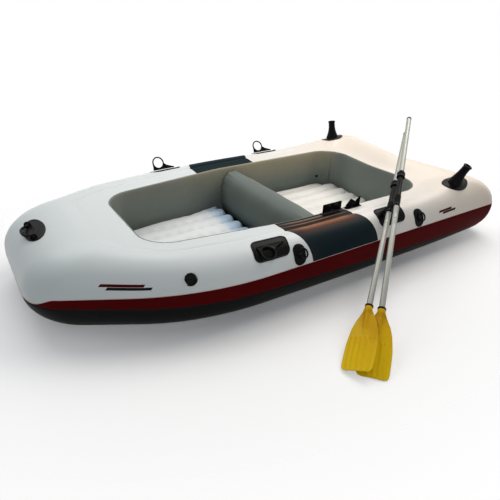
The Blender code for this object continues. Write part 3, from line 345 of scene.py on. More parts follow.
def lengths(curve):
    """The length of a polyline up to each of its points."""
    return np.r_[0, np.cumsum(np.linalg.norm(np.diff(curve, axis=0), axis=1))]


def resampled(curve, count):
    """A polyline sampled anew, with its points evenly spaced along its length."""
    length = lengths(curve)
    even = np.linspace(0, length[-1], count)
    return np.c_[np.interp(even, length, curve[:, 0]), np.interp(even, length, curve[:, 1])]


def nearest_feet(curve, points):
    """The nearest point of an open polyline to each point: the best of its feet on the segments."""
    start, run = curve[:-1], np.diff(curve, axis=0)
    rel = points[:, None] - start[None]
    share = held(np.sum(rel * run, axis=2) / np.sum(run * run, axis=1))
    feet = start[None] + run[None] * share[..., None]
    best = np.argmin(np.linalg.norm(feet - points[:, None], axis=2), axis=1)
    return feet[np.arange(len(points)), best]


def smoothed(values, passes):
    """Rows of a half plan averaged with their neighbours, the two ends held on the centreline."""
    for _ in range(passes):
        inner = (values[:-2] + 2 * values[1:-1] + values[2:]) / 4
        values = np.vstack([values[:1], inner, values[-1:]])
    return values


HALF_COUNT, RIM_PASSES = 361, 8
outside_half = resampled(outline_half(
    [(BOW_X, 0), (BOW_X, BOW_HALF), (SHOULDER_X, HALF_BEAM), (STERN_X, HALF_BEAM), (TRANSOM_X, 0)],
    (BOW_RADIUS, SHOULDER_RADIUS, STERN_RADIUS), 0.003), HALF_COUNT)
wall_half = outline_half(
    [(RIM_BOW_X, 0), (RIM_BOW_X, RIM_BOW_HALF), (RIM_MID_X, RIM_HALF), (RIM_STERN_X, RIM_HALF),
     (RIM_TRANSOM_X, 0)], (RIM_BOW_RADIUS, MID_RADIUS, RIM_RADIUS), 0.004)
rim_half = nearest_feet(wall_half, outside_half)
rim_half[[0, -1], 1] = 0.0
rim_half = smoothed(rim_half, RIM_PASSES)
share = np.interp(rim_half[:, 0], (RIM_BOW_X, 0.0), (SEAM_SHARE_BOW, SEAM_SHARE_SIDE))[:, None]
seam_half = outside_half + (rim_half - outside_half) * share
MIRROR = np.array([1, -1])
OUTSIDE, SEAM, RIM = (np.vstack([h, h[1:-1][::-1] * MIRROR])
                      for h in (outside_half, seam_half, rim_half))
STATIONS = len(OUTSIDE)
print("stations", STATIONS, "outline", round(float(lengths(OUTSIDE)[-1]), 3), "m")

# %% [markdown]
# ## The tube's section
# Air makes a tube round, and its welds flatten it.  Outside, the section is close to an ellipse.
# From the crown the white film runs in, nearly level, to the cockpit's lip, and dips a little
# where an inner web pulls it down.  One angle runs all over it: -90 is the bottom, 0 the boat's
# side, 90 the crown and 180 the lip.

# %% Section
SHEET = 0.003
TUBE_HEIGHT, END_HEIGHT, LEVEL_HALF, END_RUN = 0.295, 0.332, 0.425, 0.765
CROWN_SHARE, CROWN_MOST, SIDE_POWER = 0.80, 0.260, 2.15
LIP, WEB_CORNER, WALL_ROUND, WALL_FOOT = 0.010, 0.016, 0.040, 0.026
RIM_HEIGHT, FLOOR_HEIGHT = 0.289, 0.082
RED_TOP, RED_BOTTOM, RED_SLOPE, BLACK_BOTTOM = 0.191, 0.109, 0.039, 0.020
FLOAT = SHEET + GAP
LEVEL_X, DECK_POWER, DECK_SWELL, LIP_DIP = -0.085, 1.9, 1.4, 0.0022
VALLEY_DEPTH, VALLEY_WIDTH, VALLEY_AFT, VALLEY_FADE = 0.0034, 0.09, 0.80, 0.40


def at(curve, place):
    """Points of a closed plan at fractional stations, joined by straight lines."""
    place = np.asarray(place, float) % STATIONS
    k = np.floor(place).astype(int)
    f = (place - k)[..., None]
    return curve[k % STATIONS] * (1 - f) + curve[(k + 1) % STATIONS] * f


def half_height(x):
    """Half the outer chamber's height: level amidships, rising as x squared to both ends."""
    rise = held((np.abs(x - LEVEL_X) - LEVEL_HALF) / END_RUN) ** 2
    return (TUBE_HEIGHT + (END_HEIGHT - TUBE_HEIGHT) * rise - FLOAT) / 2


def signed_power(value, power):
    """The size of a value raised to a power, with the value's own sign."""
    return np.sign(value) * np.abs(value) ** power


def spans(place):
    """Outside point, way inwards, and the distances in to the crown, the web and the wall."""
    outside, seam, rim = at(OUTSIDE, place), at(SEAM, place), at(RIM, place)
    width, wall = (np.linalg.norm(inner - outside, axis=-1) for inner in (seam, rim))
    crown = np.minimum(CROWN_SHARE * width, CROWN_MOST)
    return outside, (rim - outside) / wall[..., None], crown, width, wall


def paired(place, angle):
    """Two arrays, or numbers, brought to one shape."""
    return np.broadcast_arrays(np.asarray(place, float), np.asarray(angle, float))


def inboard_of(outside, inwards, r, z):
    """Points a distance r inboard of the outside of the plan, at the height z."""
    z = np.broadcast_to(z, np.broadcast(outside[..., 0], r).shape)
    x, y = (outside[..., k] + inwards[..., k] * r for k in (0, 1))
    return np.stack([x, y, z], -1)


def skin(place, angle):
    """The outer chamber's skin: a superellipse up to the crown, then the deck, which falls by
    (1 - s)**1.9 (1 + 1.4 s) of the drop, s being the share of the way from the crown to the lip."""
    place, angle = paired(place, angle)
    outside, inwards, crown, width, wall = spans(place)
    half = half_height(outside[..., 0])
    a = np.minimum(angle, pi / 2)
    s = held((angle - pi / 2) / (pi / 2))
    head = wall - LIP - GAP / 2
    r = np.where(angle < pi / 2, crown * (1 - np.maximum(np.cos(a), 0) ** (2 / SIDE_POWER)),
                 crown + (head - crown) * s)
    top = FLOAT + 2 * half
    deck = RIM_HEIGHT + (top - RIM_HEIGHT) * (1 - s) ** DECK_POWER * (1 + DECK_SWELL * s)
    valley = (width - crown) / (head - crown)
    fore = held((VALLEY_AFT - outside[..., 0]) / VALLEY_FADE)
    dip = bump(s, valley, VALLEY_WIDTH) * held(s / 0.1)
    deck = deck - VALLEY_DEPTH * fore * dip
    deck = deck - LIP_DIP * held((s - 0.90) / 0.10) ** 2
    z = np.where(angle < pi / 2, FLOAT + half * (1 + signed_power(np.sin(a), 2 / SIDE_POWER)), deck)
    return inboard_of(outside, inwards, r, z)


def skin_normal(place, angle):
    """The skin's outward normal, from the cross product of its two slopes."""
    dp = skin(place + 0.4, angle) - skin(place - 0.4, angle)
    da = skin(place, angle + 0.004) - skin(place, angle - 0.004)
    normal = unit(np.cross(dp, da))
    place, angle = paired(place, angle)
    inwards = spans(place)[1]
    turn = np.minimum(angle, pi / 2)[..., None]
    out = np.concatenate([-inwards * np.cos(turn), np.sin(turn)], -1)
    return normal * np.sign(np.sum(normal * out, -1, keepdims=True))


def angle_at_height(z, x):
    """The section's angle at which the boat's side is z high."""
    half = half_height(x)
    s = np.clip((z - FLOAT - half) / half, -0.995, 0.995)
    return np.arctan2(signed_power(s, SIDE_POWER / 2), (1 - np.abs(s) ** SIDE_POWER) ** 0.5)


print("crown height amidships", round(float(skin(180.0, pi / 2)[2]), 4))

# %% [markdown]
# ## From arrays to meshes
# Every soft piece is a grid of points.  One helper turns a grid, closed or open in either
# direction, into a mesh whose faces point outwards, and another closes the ends of a tube.

# %% Mesh helpers
def grid_faces(rows, cols, close_rows=False, close_cols=False):
    """Quads of a grid of points, wrapped round where it is closed."""
    i = np.arange(rows if close_rows else rows - 1)
    j = np.arange(cols if close_cols else cols - 1)
    i, j = (g.ravel() for g in np.meshgrid(i, j, indexing="ij"))
    i2, j2 = (i + 1) % rows, (j + 1) % cols
    return np.c_[i * cols + j, i2 * cols + j, i2 * cols + j2, i * cols + j2]


def signed_volume(points, quads):
    """Six times the volume inside a closed mesh of quads: positive if its faces point outwards."""
    a, b, c, d = (points[quads[:, k]] for k in range(4))
    return float(np.sum(a * np.cross(b, c)) + np.sum(a * np.cross(c, d)))


def mesh_piece(name, points, faces, material):
    """A closed mesh object from points and arrays of quads or triangles, faces outwards."""
    points = np.asarray(points, float).reshape(-1, 3)
    groups = faces if isinstance(faces, list) else [faces]
    if sum(signed_volume(points, f if f.shape[1] == 4 else np.c_[f, f[:, 2]]) for f in groups) < 0:
        groups = [f[:, ::-1] for f in groups]
    mesh = bpy.data.meshes.new(name)
    mesh.from_pydata(points.tolist(), [], [f for g in groups for f in g.tolist()])
    mesh.validate()
    mesh.polygons.foreach_set("use_smooth", np.full(len(mesh.polygons), True))
    mesh.update()
    mesh.materials.append(material)
    return linked(name, mesh)


def stand_in(obj, node=None, body="hull"):
    """Lets a piece ride on its body in place of a CAD node, which it hides."""
    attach(obj, body)
    if node:
        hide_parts(node)


def tube(name, sections, material):
    """A closed solid through sections; each end is closed by a fan to the section's middle."""
    sections = np.asarray(sections, float)
    rows, cols = sections.shape[:2]
    points = np.vstack([sections.reshape(-1, 3), sections[0].mean(0), sections[-1].mean(0)])
    j = np.arange(cols)
    after, base = (j + 1) % cols, (rows - 1) * cols
    first = np.c_[after, j, np.full(cols, rows * cols)]
    last = np.c_[base + j, base + after, np.full(cols, rows * cols + 1)]
    return mesh_piece(name, points, [grid_faces(rows, cols, False, True), first, last], material)


print("helpers ready")

# %% [markdown]
# ## Materials
# Nearly everything here is soft PVC film with a print on it, moulded PVC, or plastic.  Each finish
# mixes the same few effects at its own strength, so these are node groups: a fine moulded grain, a
# slow unevenness of tone and gloss, and the dust and scuffs that a boat picks up in use.  The
# shaders themselves stay in each material.

# %% Shared effects
def make_grain_group():
    """Film grain: small cells of a Voronoi pattern with fine noise between them, as a height."""
    group, given, out = new_group("film_grain", [("Scale", 900.0), ("Softness", 0.5)], ["Height"])
    place = add(group, "ShaderNodeTexCoord").outputs["Object"]
    cells = add(group, "ShaderNodeTexVoronoi")
    cells.feature = "SMOOTH_F1"
    for label, value in (("Vector", place), ("Scale", given["Scale"]),
                         ("Smoothness", given["Softness"])):
        feed(group, value, cells.inputs[label])
    height = maths(group, "ADD", maths(group, "MULTIPLY", cells.outputs["Distance"], 0.7),
                   maths(group, "MULTIPLY", noise(group, place, given["Scale"], 2.0, 0.6), 0.3))
    feed(group, height, out["Height"])
    return group


def make_tone_group():
    """Unevenness: slow noise at two sizes, spread round one half, for tone and gloss."""
    group, given, out = new_group("uneven_tone", [("Scale", 3.0), ("Contrast", 1.0)], ["Value"])
    place = add(group, "ShaderNodeTexCoord").outputs["Object"]
    slow = noise(group, place, given["Scale"], 3.0, 0.55)
    fast = noise(group, place, maths(group, "MULTIPLY", given["Scale"], 9.0), 4.0, 0.6)
    both = maths(group, "ADD", maths(group, "MULTIPLY", slow, 0.7),
                 maths(group, "MULTIPLY", fast, 0.3))
    feed(group, spread(group, both, given["Contrast"], 0.5, clamp=True), out["Value"])
    return group


def make_wear_group():
    """Use: dust low down, and thin short scuffs, as two masks."""
    group, given, out = new_group("wear", [("Dust", 0.5), ("Dust Height", 0.06),
                                           ("Scuff Scale", 22.0)], ["Dust", "Scuff"])
    place, split = own_place(group)
    fade = maths(group, "SUBTRACT", 1.0, maths(group, "DIVIDE", split["Z"], given["Dust Height"]),
                 clamp=True)
    blots = maths(group, "MULTIPLY", fade, noise(group, place, 38.0, 5.0, 0.7))
    feed(group, maths(group, "MULTIPLY", blots, given["Dust"], clamp=True), out["Dust"])
    stretch = add(group, "ShaderNodeMapping", Vector=place, Scale=(1.0, 7.0, 9.0),
                  Rotation=(0.4, 0.2, 0.5))
    lines = noise(group, stretch.outputs[0], given["Scuff Scale"], 6.0, 0.75)
    scuff = maths(group, "MULTIPLY", maths(group, "SUBTRACT", lines, 0.66), 9.0, clamp=True)
    feed(group, scuff, out["Scuff"])
    return group


GRAIN, TONE, WEAR = make_grain_group(), make_tone_group(), make_wear_group()
print("groups", [g.name for g in bpy.data.node_groups])

# %% A finish from its parts
DUST_COLOUR, GRAIN_DEPTH, SHADE = (0.32, 0.28, 0.22), 0.0004, (0.50, 0.50, 0.48)
FINISHES, SLOTS = {}, {}


def tones(tree, scale, contrast):
    """Uneven tone between 0 and 1, in patches of a size and a strength."""
    return use_group(tree, TONE, Scale=scale, Contrast=contrast)["Value"]


def finish(name, colour, roughness, tone=0.06, gloss=0.08, grain=0.15, grain_scale=900.0, dust=0.0,
           dust_height=0.06, scuff=0.25, metallic=0.0, specular=0.3, extra=None, slot=None):
    """A material: colour with uneven tone, dust and scuffs, uneven gloss, and a grain in its bump.
    It serves the record's slot of the same name, or another one."""
    mat, tree, shader = new_material(name)
    uneven = tones(tree, 3.0, 1.6)
    wear = use_group(tree, WEAR, Dust=dust, Dust_Height=dust_height)
    if extra:
        base = extra(tree)
    else:
        base = mix_colour(tree, uneven, tuple(c * (1 - tone * 2) for c in colour),
                          tuple(min(1.0, c * (1 + tone * 2) + tone * 0.01) for c in colour))
    worn = mix_colour(tree, maths(tree, "MULTIPLY", wear["Scuff"], scuff * 0.4), base,
                      tuple(min(1.0, c * 0.7 + 0.12) for c in colour))
    rough = spread(tree, uneven, gloss * 2, roughness)
    rough = maths(tree, "MULTIPLY_ADD", wear["Scuff"], scuff * 0.35, rough)
    rough = maths(tree, "ADD", rough, maths(tree, "MULTIPLY", wear["Dust"], 0.35), clamp=True)
    height = use_group(tree, GRAIN, Scale=grain_scale)["Height"]
    relief = add(tree, "ShaderNodeBump", Strength=grain, Distance=GRAIN_DEPTH, Height=height)
    dusty = mix_colour(tree, wear["Dust"], worn, DUST_COLOUR)
    for label, value in (("Base Color", dusty), ("Roughness", rough),
                         ("Normal", relief.outputs["Normal"]), ("Metallic", metallic),
                         ("Specular IOR Level", specular)):
        feed(tree, value, shader.inputs[label])
    FINISHES[name], SLOTS[mat.name] = mat, slot or name
    return mat


def shaded(tree, base, scale, amount):
    """A colour drawn a little towards grey in slow patches."""
    return mix_colour(tree, maths(tree, "MULTIPLY", tones(tree, scale, 1.2), amount), base, SHADE)


def lit_white_film(tree):
    """Off-white film with painted light, by the object's own X: dim and cool at the bow, bright and
    creamy towards the stern.
    """
    split = own_place(tree)[1]
    along = maths(tree, "DIVIDE", maths(tree, "ADD", split["X"], 1.25), 2.5, clamp=True)
    # painted light: the ramp runs from a dim cool white at the bow to a bright warm cream at the
    # stern
    base = ramp(tree, along, [(0.0, (0.58, 0.63, 0.63)), (0.35, (0.68, 0.72, 0.72)),
                              (0.60, (0.76, 0.73, 0.69)), (1.0, (0.78, 0.67, 0.56))])
    return shaded(tree, base, 5.0, 0.10)


def blade_tone(tree):
    """Moulded yellow, by height: paler low down near the tip, more orange higher up towards the
    hub.
    """
    high = maths(tree, "MULTIPLY_ADD", own_place(tree)[1]["Z"], 8.0, -0.25)
    high = spread(tree, tones(tree, 7.0, 2.2), 0.5, high, clamp=True)
    return ramp(tree, high, [(0.0, (0.70, 0.46, 0.005)), (0.35, (0.66, 0.40, 0.004)),
                             (0.62, (0.55, 0.30, 0.004)), (1.0, (0.62, 0.36, 0.005))])


def lit_wall_film(tree):
    """Grey film with painted light: a little warmer and paler along the top of the starboard wall,
    more so towards the stern.
    """
    split = own_place(tree)[1]
    high = maths(tree, "MULTIPLY_ADD", split["Z"], 6.5, -0.85, clamp=True)
    far = maths(tree, "MULTIPLY_ADD", split["Y"], 9.0, -2.4, clamp=True)
    slow = tones(tree, 4.0, 1.8)
    base = mix_colour(tree, slow, (0.163, 0.188, 0.170), (0.210, 0.232, 0.205))
    # painted light: a warm pale colour for the lit top of the starboard wall
    warm = mix_colour(tree, slow, (0.36, 0.320, 0.225), (0.46, 0.405, 0.275))
    aft = maths(tree, "MULTIPLY_ADD", split["X"], 1.5, 0.62, clamp=True)
    aft = maths(tree, "MULTIPLY_ADD", aft, 0.60, 0.40)
    lit = maths(tree, "MULTIPLY", maths(tree, "MULTIPLY", high, far), aft)
    return mix_colour(tree, lit, base, warm)


# The white vinyl's colour carries painted light: darker at the bow, brighter and warmer towards the
# stern.
WHITE_VINYL = finish("white_vinyl", (0.72, 0.72, 0.70), 0.36, grain=0.10, dust=0.25,
                     dust_height=0.12, scuff=0.25, extra=lit_white_film)
GREY_VINYL = finish("grey_vinyl", (0.185, 0.205, 0.185), 0.48, tone=0.10, grain=0.16, dust=0.2,
                    dust_height=0.10, specular=0.16, extra=lit_wall_film)
# The seat's grey is a darker copy of the grey film, whose slot it shares: painted shade that keeps
# the well-lit top of the cross tube dark.
SEAT_VINYL_SHADED = finish("seat_vinyl", (0.120, 0.140, 0.125), 0.48, tone=0.10, grain=0.16, specular=0.16,
                    slot="grey_vinyl")
BLACK_VINYL = finish("black_vinyl", (0.005, 0.0055, 0.005), 0.44, grain=0.2, dust=0.12,
                     dust_height=0.04, specular=0.05, scuff=0.08)
RED_VINYL = finish("red_vinyl", (0.078, 0.0028, 0.0035), 0.46, grain=0.12, scuff=0.02,
                   specular=0.012)
BLACK_RUBBER = finish("black_rubber", (0.0045, 0.0045, 0.0043), 0.24, grain=0.22,
                      grain_scale=1400.0, scuff=0.05, specular=0.045)
WHITE_PLASTIC = finish("white_plastic", (0.62, 0.64, 0.62), 0.28, grain=0.05)
YELLOW_PLASTIC = finish("yellow_plastic", (0.69, 0.44, 0.004), 0.38, tone=0.07, grain=0.12,
                        scuff=0.25, specular=0.08, extra=blade_tone)
GREY_ALLOY = finish("grey_alloy", (0.34, 0.345, 0.31), 0.42, tone=0.04, grain=0.06, metallic=0.35,
                    scuff=0.4, specular=0.2)
NAVY_VINYL = finish("navy_vinyl", (0.008, 0.017, 0.020), 0.42, grain=0.08, specular=0.010,
                    scuff=0.04)
for part in frame["record"]["subparts"]:
    obj = nodes[part["node"]]
    obj.data.materials.clear()
    obj.data.materials.append(FINISHES[part["material_slot"]])
print("finishes", sorted(FINISHES))

# %% [markdown]
# ## The outer chamber
# The big white tube is one closed grid: stations along the plan by angles round the section.
# Air pulls the film tight, but welds hold it back, so it puckers: short ripples stand square to
# each weld and die out within a hand's width.  They are strongest where the plan turns.  On top, a
# weld to the inner web draws a shallow valley all round the cockpit.

# %% Outer chamber
PUCKER_REACH, LIP_REACH, WELD_AFT, WELD_FADE, WELD_START = 0.16, 0.22, 0.85, 0.40, 0.12
RED_PUCKER, WELD_PUCKER, LIP_PUCKER, WELD_DIP, SLOW_WAVE = 0.0011, 0.0018, 0.0012, 0.0010, 0.0008


def ripples(place, reach, seed, waves=(37, 61, 97, 141)):
    """Puckers across a weld: sines of whole waves round the boat, swelling and fading."""
    rng = np.random.default_rng(seed)
    phase = 2 * pi * np.asarray(place) / STATIONS
    total = 0.0
    for wave in waves:
        total = total + np.sin(wave * phase + rng.uniform(0, 2 * pi)) * rng.uniform(0.6, 1.0)
    slow, quick = (np.sin(wave * phase + rng.uniform(0, 6)) for wave in (5, 8))
    return total / len(waves) * (0.55 + 0.45 * slow * quick) * reach


def averaged(values, reach):
    """Values round the boat, averaged over a reach to either side."""
    wide = np.r_[values[-reach:], values, values[:reach]]
    return np.convolve(wide, np.ones(2 * reach + 1) / (2 * reach + 1), "same")[reach:-reach]


def turning(curve, ahead, behind, reach):
    """How much a plan turns at each station, from 0 to 1, and averaged over a reach."""
    heading = unit(np.roll(curve, -1, 0) - curve)
    turn = np.linalg.norm(np.roll(heading, -ahead, 0) - np.roll(heading, behind, 0), axis=1)
    turn = averaged(turn, reach)
    return turn / turn.max()


def read_round(values, place):
    """Values given at the stations, read at fractional stations."""
    return np.interp(place % STATIONS, np.arange(STATIONS + 1), np.r_[values, values[0]])


TURNING = turning(OUTSIDE, 6, 6, 20)


def valley_angle(place):
    """The angle at which the deck is welded to the web."""
    crown, width, wall = spans(place)[2:]
    return pi / 2 * (1 + (width - crown) / (wall - LIP - crown))


def soft_skin(place, angle):
    """The skin with its puckers and the slow waves of a hand-welded tube."""
    place, angle = paired(place, angle)
    point, normal = skin(place, angle), skin_normal(place, angle)
    bend = 0.35 + 0.65 * read_round(TURNING, place)
    x = at(OUTSIDE, place)[..., 0]
    red = angle_at_height(RED_TOP, x)
    off = (angle - valley_angle(place)) / PUCKER_REACH
    inboard, fore = held((angle - pi / 2) / WELD_START), (WELD_AFT - x) / WELD_FADE
    near_red = np.exp(-np.abs(angle - red) / PUCKER_REACH)
    near_weld = np.exp(-np.abs(off)) * inboard * np.clip(fore, 0.15, 1)
    near_lip = np.exp(-np.abs(angle - pi) / LIP_REACH)
    height = ripples(place, RED_PUCKER, 3) * near_red * bend
    height = height + ripples(place, WELD_PUCKER, 5, (29, 53, 83)) * near_weld * bend
    height = height + ripples(place, LIP_PUCKER, 8, (43, 71, 113)) * near_lip
    height = height - WELD_DIP * np.exp(-(off * 3.2) ** 2) * inboard * held(fore)
    height = height + SLOW_WAVE * np.sin(2 * pi * place / STATIONS * 9 + 1.0) * np.sin(angle * 2)
    return point + normal * height[..., None]


def off_skin(place, angle, out):
    """Points over the puckered skin, at a height along its smooth normal."""
    rise = np.broadcast_to(np.asarray(out, float), np.broadcast(place, angle).shape)
    return soft_skin(place, angle) + skin_normal(place, angle) * rise[..., None]


AROUND, ROUND_SIDE, ROUND_DECK = 900, 64, 66
SECTION_ANGLES = np.r_[np.linspace(-pi / 2, pi / 2, ROUND_SIDE, endpoint=False),
                       np.linspace(pi / 2, pi, ROUND_DECK)]
PLACES = np.arange(AROUND) * STATIONS / AROUND


def web_points(place, gap):
    """The web: from its corner at the bottom, and from just above the bottom sheet."""
    outside, inwards, _, width, _ = spans(place)
    foot = width + gap / 2
    corner = np.sign(gap) * WEB_CORNER
    rows = [inboard_of(outside, inwards, foot + corner * f, FLOAT + z)
            for f, z in ((0, WEB_CORNER), (0.35, WEB_CORNER * 0.3), (1, 0))]
    return np.stack(rows, 1)


def ring_mesh(name, grid, material):
    """A mesh piece from a grid closed in both directions."""
    return mesh_piece(name, grid, grid_faces(*grid.shape[:2], True, True), material)


grid = np.concatenate([soft_skin(PLACES[:, None], SECTION_ANGLES), web_points(PLACES, -GAP)],
                      axis=1)
stand_in(ring_mesh("outer_chamber_skin", grid, WHITE_VINYL), "outer_chamber")
print("outer chamber", grid.shape)

# %% [markdown]
# ## The red and black bands
# Two strips of coloured film are welded over the tube's lower side.  Each is a thin sheet that
# follows the skin a little way out and thins to nothing at its edges, with a fine welded line
# along its upper edge.

# %% Bands on the lower side
STRIP_THICK, STRIP_EDGE, STRIP_GAP = 0.0014, 0.0004, 0.0001


def band(word, low, high, rows, material):
    """A strip between two heights of the side: a sheet over the skin, closed round its edges."""
    x = at(OUTSIDE, PLACES)[:, 0]
    first, last = angle_at_height(low(x), x), angle_at_height(high(x), x)
    f = np.linspace(0, 1, rows)
    angle = first[:, None] + (last - first)[:, None] * f
    under, normal = soft_skin(PLACES[:, None], angle), skin_normal(PLACES[:, None], angle)
    edge = np.minimum(1.0, np.minimum(f, 1 - f) * rows / 2.0)
    over = under + normal * (STRIP_EDGE + (STRIP_THICK - STRIP_EDGE) * edge)[None, :, None]
    both = np.concatenate([over, (under + normal * STRIP_GAP)[:, ::-1]], axis=1)
    stand_in(ring_mesh(word + "_band_film", both, material), word + "_band")


def red_low(x):
    """The line between red and black, which the fitter's hand has left a little uneven."""
    wander = 0.0016 * np.sin(x * 61 + 0.4) + 0.0012 * np.sin(x * 137 + 2.1)
    return RED_BOTTOM - RED_SLOPE * x + wander


def red_high(x):
    """The red strip's upper edge: level, but lower round the front of the bow."""
    front = held((-1.165 - x) / 0.075)
    return RED_TOP - 0.034 * front * front * (3 - 2 * front)


band("red", red_low, red_high, 14, RED_VINYL)
band("black", lambda x: BLACK_BOTTOM + 0 * x, red_low, 16, BLACK_VINYL)
line_x = at(OUTSIDE, PLACES)[:, 0]
line_turn = angle_at_height(red_high(line_x) + 0.0012, line_x)
line_path = off_skin(PLACES, line_turn, STRIP_EDGE)
print("bands made")

# %% [markdown]
# ## The inner chamber
# Inside the white tube lies a second, grey one, which forms the cockpit's wall, so that the boat
# floats if one is holed.  Its head is welded to the white film at the lip.  Air bows the wall
# gently, and the film is gathered in each corner of the cockpit, where short creases stand.

# %% Inner chamber
def wall_line(count):
    """Distances outboard of the wall and heights, from the lip down to the floor: a quarter
    superellipse at the top, a nearly straight run, and a rounder quarter at the foot."""
    q = np.linspace(pi / 2, 0, 60)
    top = np.c_[LIP * (1 - np.cos(q) ** 0.9), RIM_HEIGHT - WALL_ROUND * (1 - np.sin(q) ** 0.9)]
    q = np.linspace(0, pi / 2, 60)
    foot = np.c_[WALL_FOOT * 1.3 * (1 - np.cos(q)), FLOAT + WALL_FOOT * 1.5 * (1 - np.sin(q))]
    return resampled(np.vstack([top, foot]), count)


WALL_ROWS, WALL_BOW, WALL_PUCKER, WALL_WAVE = 72, 0.0022, 0.0026, 0.0007
CREASE_DEPTH, CREASE_RIDGE = 0.0042, 0.0024
COCKPIT = RIM[:HALF_COUNT]
aft_corner = float(np.argmin(np.abs(COCKPIT[:, 0] - 0.770) + 9 * (COCKPIT[:, 1] < 0.2)))
bow_corner = float(np.argmin(np.abs(COCKPIT[:, 0] + 0.735) + 9 * (COCKPIT[:, 1] < 0.1)))
CORNER_PLACES = (aft_corner, STATIONS - aft_corner, bow_corner, STATIONS - bow_corner)
WALL_LINE = wall_line(WALL_ROWS)


def inner_wall(places):
    """The wall: its line swept round the cockpit, bowed by the air and gathered at the corners."""
    outside, inwards, _, _, wall = spans(places)
    turn = read_round(turning(RIM, 4, 1, 12), places)
    back, z = WALL_LINE[:, 0], WALL_LINE[:, 1]
    up = held((z - 0.02) / (RIM_HEIGHT - 0.04))
    bow = WALL_BOW * np.sin(pi * up) ** 1.2
    gather = ripples(places, WALL_PUCKER, 17, (47, 89, 131)) * (0.20 + 0.80 * turn)
    near_lip = np.exp(-(RIM_HEIGHT - z) / 0.035)
    near_foot = np.exp(-(z - FLOAT) / 0.050)
    push = bow + gather[:, None] * (near_lip + 0.8 * near_foot)
    push = push + WALL_WAVE * np.sin(46 * pi * places / STATIONS)[:, None] * np.sin(pi * up)
    for spot in CORNER_PLACES:
        away = (places[:, None] - spot + 0.8 * up + STATIONS / 2) % STATIONS - STATIONS / 2
        crease = -CREASE_DEPTH * np.exp(-np.abs(away) / 1.1)
        crease = crease + CREASE_RIDGE * bump(np.abs(away), 3.4, 1.8)
        push = push + crease * held(np.sin(pi * up) * 1.6) ** 0.5
    r = wall[:, None] - back + push * held(back / 0.002 + (z < 0.25))
    return inboard_of(outside[:, None], inwards[:, None], r, z)


grid = np.concatenate([inner_wall(PLACES), web_points(PLACES, GAP)[:, ::-1]], axis=1)
stand_in(ring_mesh("inner_chamber_skin", grid, GREY_VINYL), "inner_chamber")
print("inner chamber", grid.shape)

# %% [markdown]
# ## The cross tube
# One grey air tube lies across the cockpit as a seat.  Its section is a rounded square that
# narrows to both ends, where the film is gathered into a flat weld against the wall.  The gathers
# fan out from each end and fade within a hand's width.

# %% Cross tube
THWART_X, THWART_HALF, THWART_TOP, THWART_END_SHARE = 0.028, 0.100, 0.268, 0.80
END_GAP, END_ROUND, GATHER_REACH, THWART_POWER = 0.0035, 0.016, 0.045, 0.86
PLEATS = (0.0026, 0.0018)


def thwart_grid(rows=220, cols=132):
    """Sections along Y: superellipses scaled by 1 - 0.2 (|y| / reach)**3, rounded at the end."""
    reach = RIM_HALF - END_GAP
    q = np.linspace(-pi / 2, pi / 2, rows)
    y = reach * np.sign(q) * (1 - (1 - np.abs(q) / (pi / 2)) ** 1.35)
    t = circle(cols)
    close = quarter((reach - np.abs(y)) / END_ROUND)
    share = 1 - (1 - THWART_END_SHARE) * (np.abs(y) / reach) ** 3
    gather = np.exp(-(reach - np.abs(y)) / GATHER_REACH)
    pleat = (PLEATS[0] * np.cos(13 * t + 0.6) + PLEATS[1] * np.cos(22 * t + 2.0)) * gather[:, None]
    wave = 0.0008 * np.sin(y[:, None] * 31 + 2 * np.sin(t))
    half_x = THWART_HALF * (share * (0.72 + 0.28 * close))[:, None] - 0.0015
    half_z = (THWART_TOP - FLOAT) / 2 - 0.0010
    fore, up = (signed_power(turned, THWART_POWER) for turned in (np.cos(t), np.sin(t)))
    x = THWART_X + (half_x + pleat + wave) * fore
    drop = (half_z * (0.90 + 0.10 * close))[:, None]
    z = (drop + pleat * 0.8 + wave) * up + FLOAT + half_z + 0.0005
    return np.stack([x, np.broadcast_to(y[:, None], x.shape), np.maximum(z, FLOAT + 0.0004)], -1)


thwart_piece = tube("thwart_tube", thwart_grid(), SEAT_VINYL_SHADED)
stand_in(thwart_piece, "thwart")
print("cross tube", len(thwart_piece.data.vertices), "points")

# %% [markdown]
# ## The floor mats
# Each mat is an air mattress of ribs that run fore and aft.  The height is a product: a rib
# profile across, and a quarter ellipse near every edge.  The ribs end in round fingers, and next
# to the cross tube the forward mat's film carries painted bluish shade over the rib ends.

# %% Floor mats
RIB_PITCH, RIB_DEPTH, MAT_INSET, SCALLOP = 0.094, 0.016, 0.0045, 0.020
MAT_END, MAT_FREE_END, MAT_SIDE = 0.030, 0.050, 0.040


def cockpit_half_width(x, inset):
    """Half the cockpit's width at x, from its plan drawn in by an inset."""
    ahead = unit(np.gradient(COCKPIT, axis=0))
    drawn = COCKPIT + np.c_[ahead[:, 1], -ahead[:, 0]] * inset
    middle = drawn[COCKPIT[:, 1] > 0.02]
    order = np.argsort(middle[:, 0])
    return np.interp(x, middle[order, 0], middle[order, 1])


def rib(y):
    """Across the ribs: rounded tops at whole numbers of pitches, narrow valleys between them."""
    return np.abs(np.cos(pi * y / RIB_PITCH)) ** 0.75


def edge_fall(distance, reach):
    """A quarter ellipse: 0 at the edge, 1 from a reach inwards."""
    left = 1 - held(distance / reach)
    return np.sqrt(held(1 - left ** 2.2))


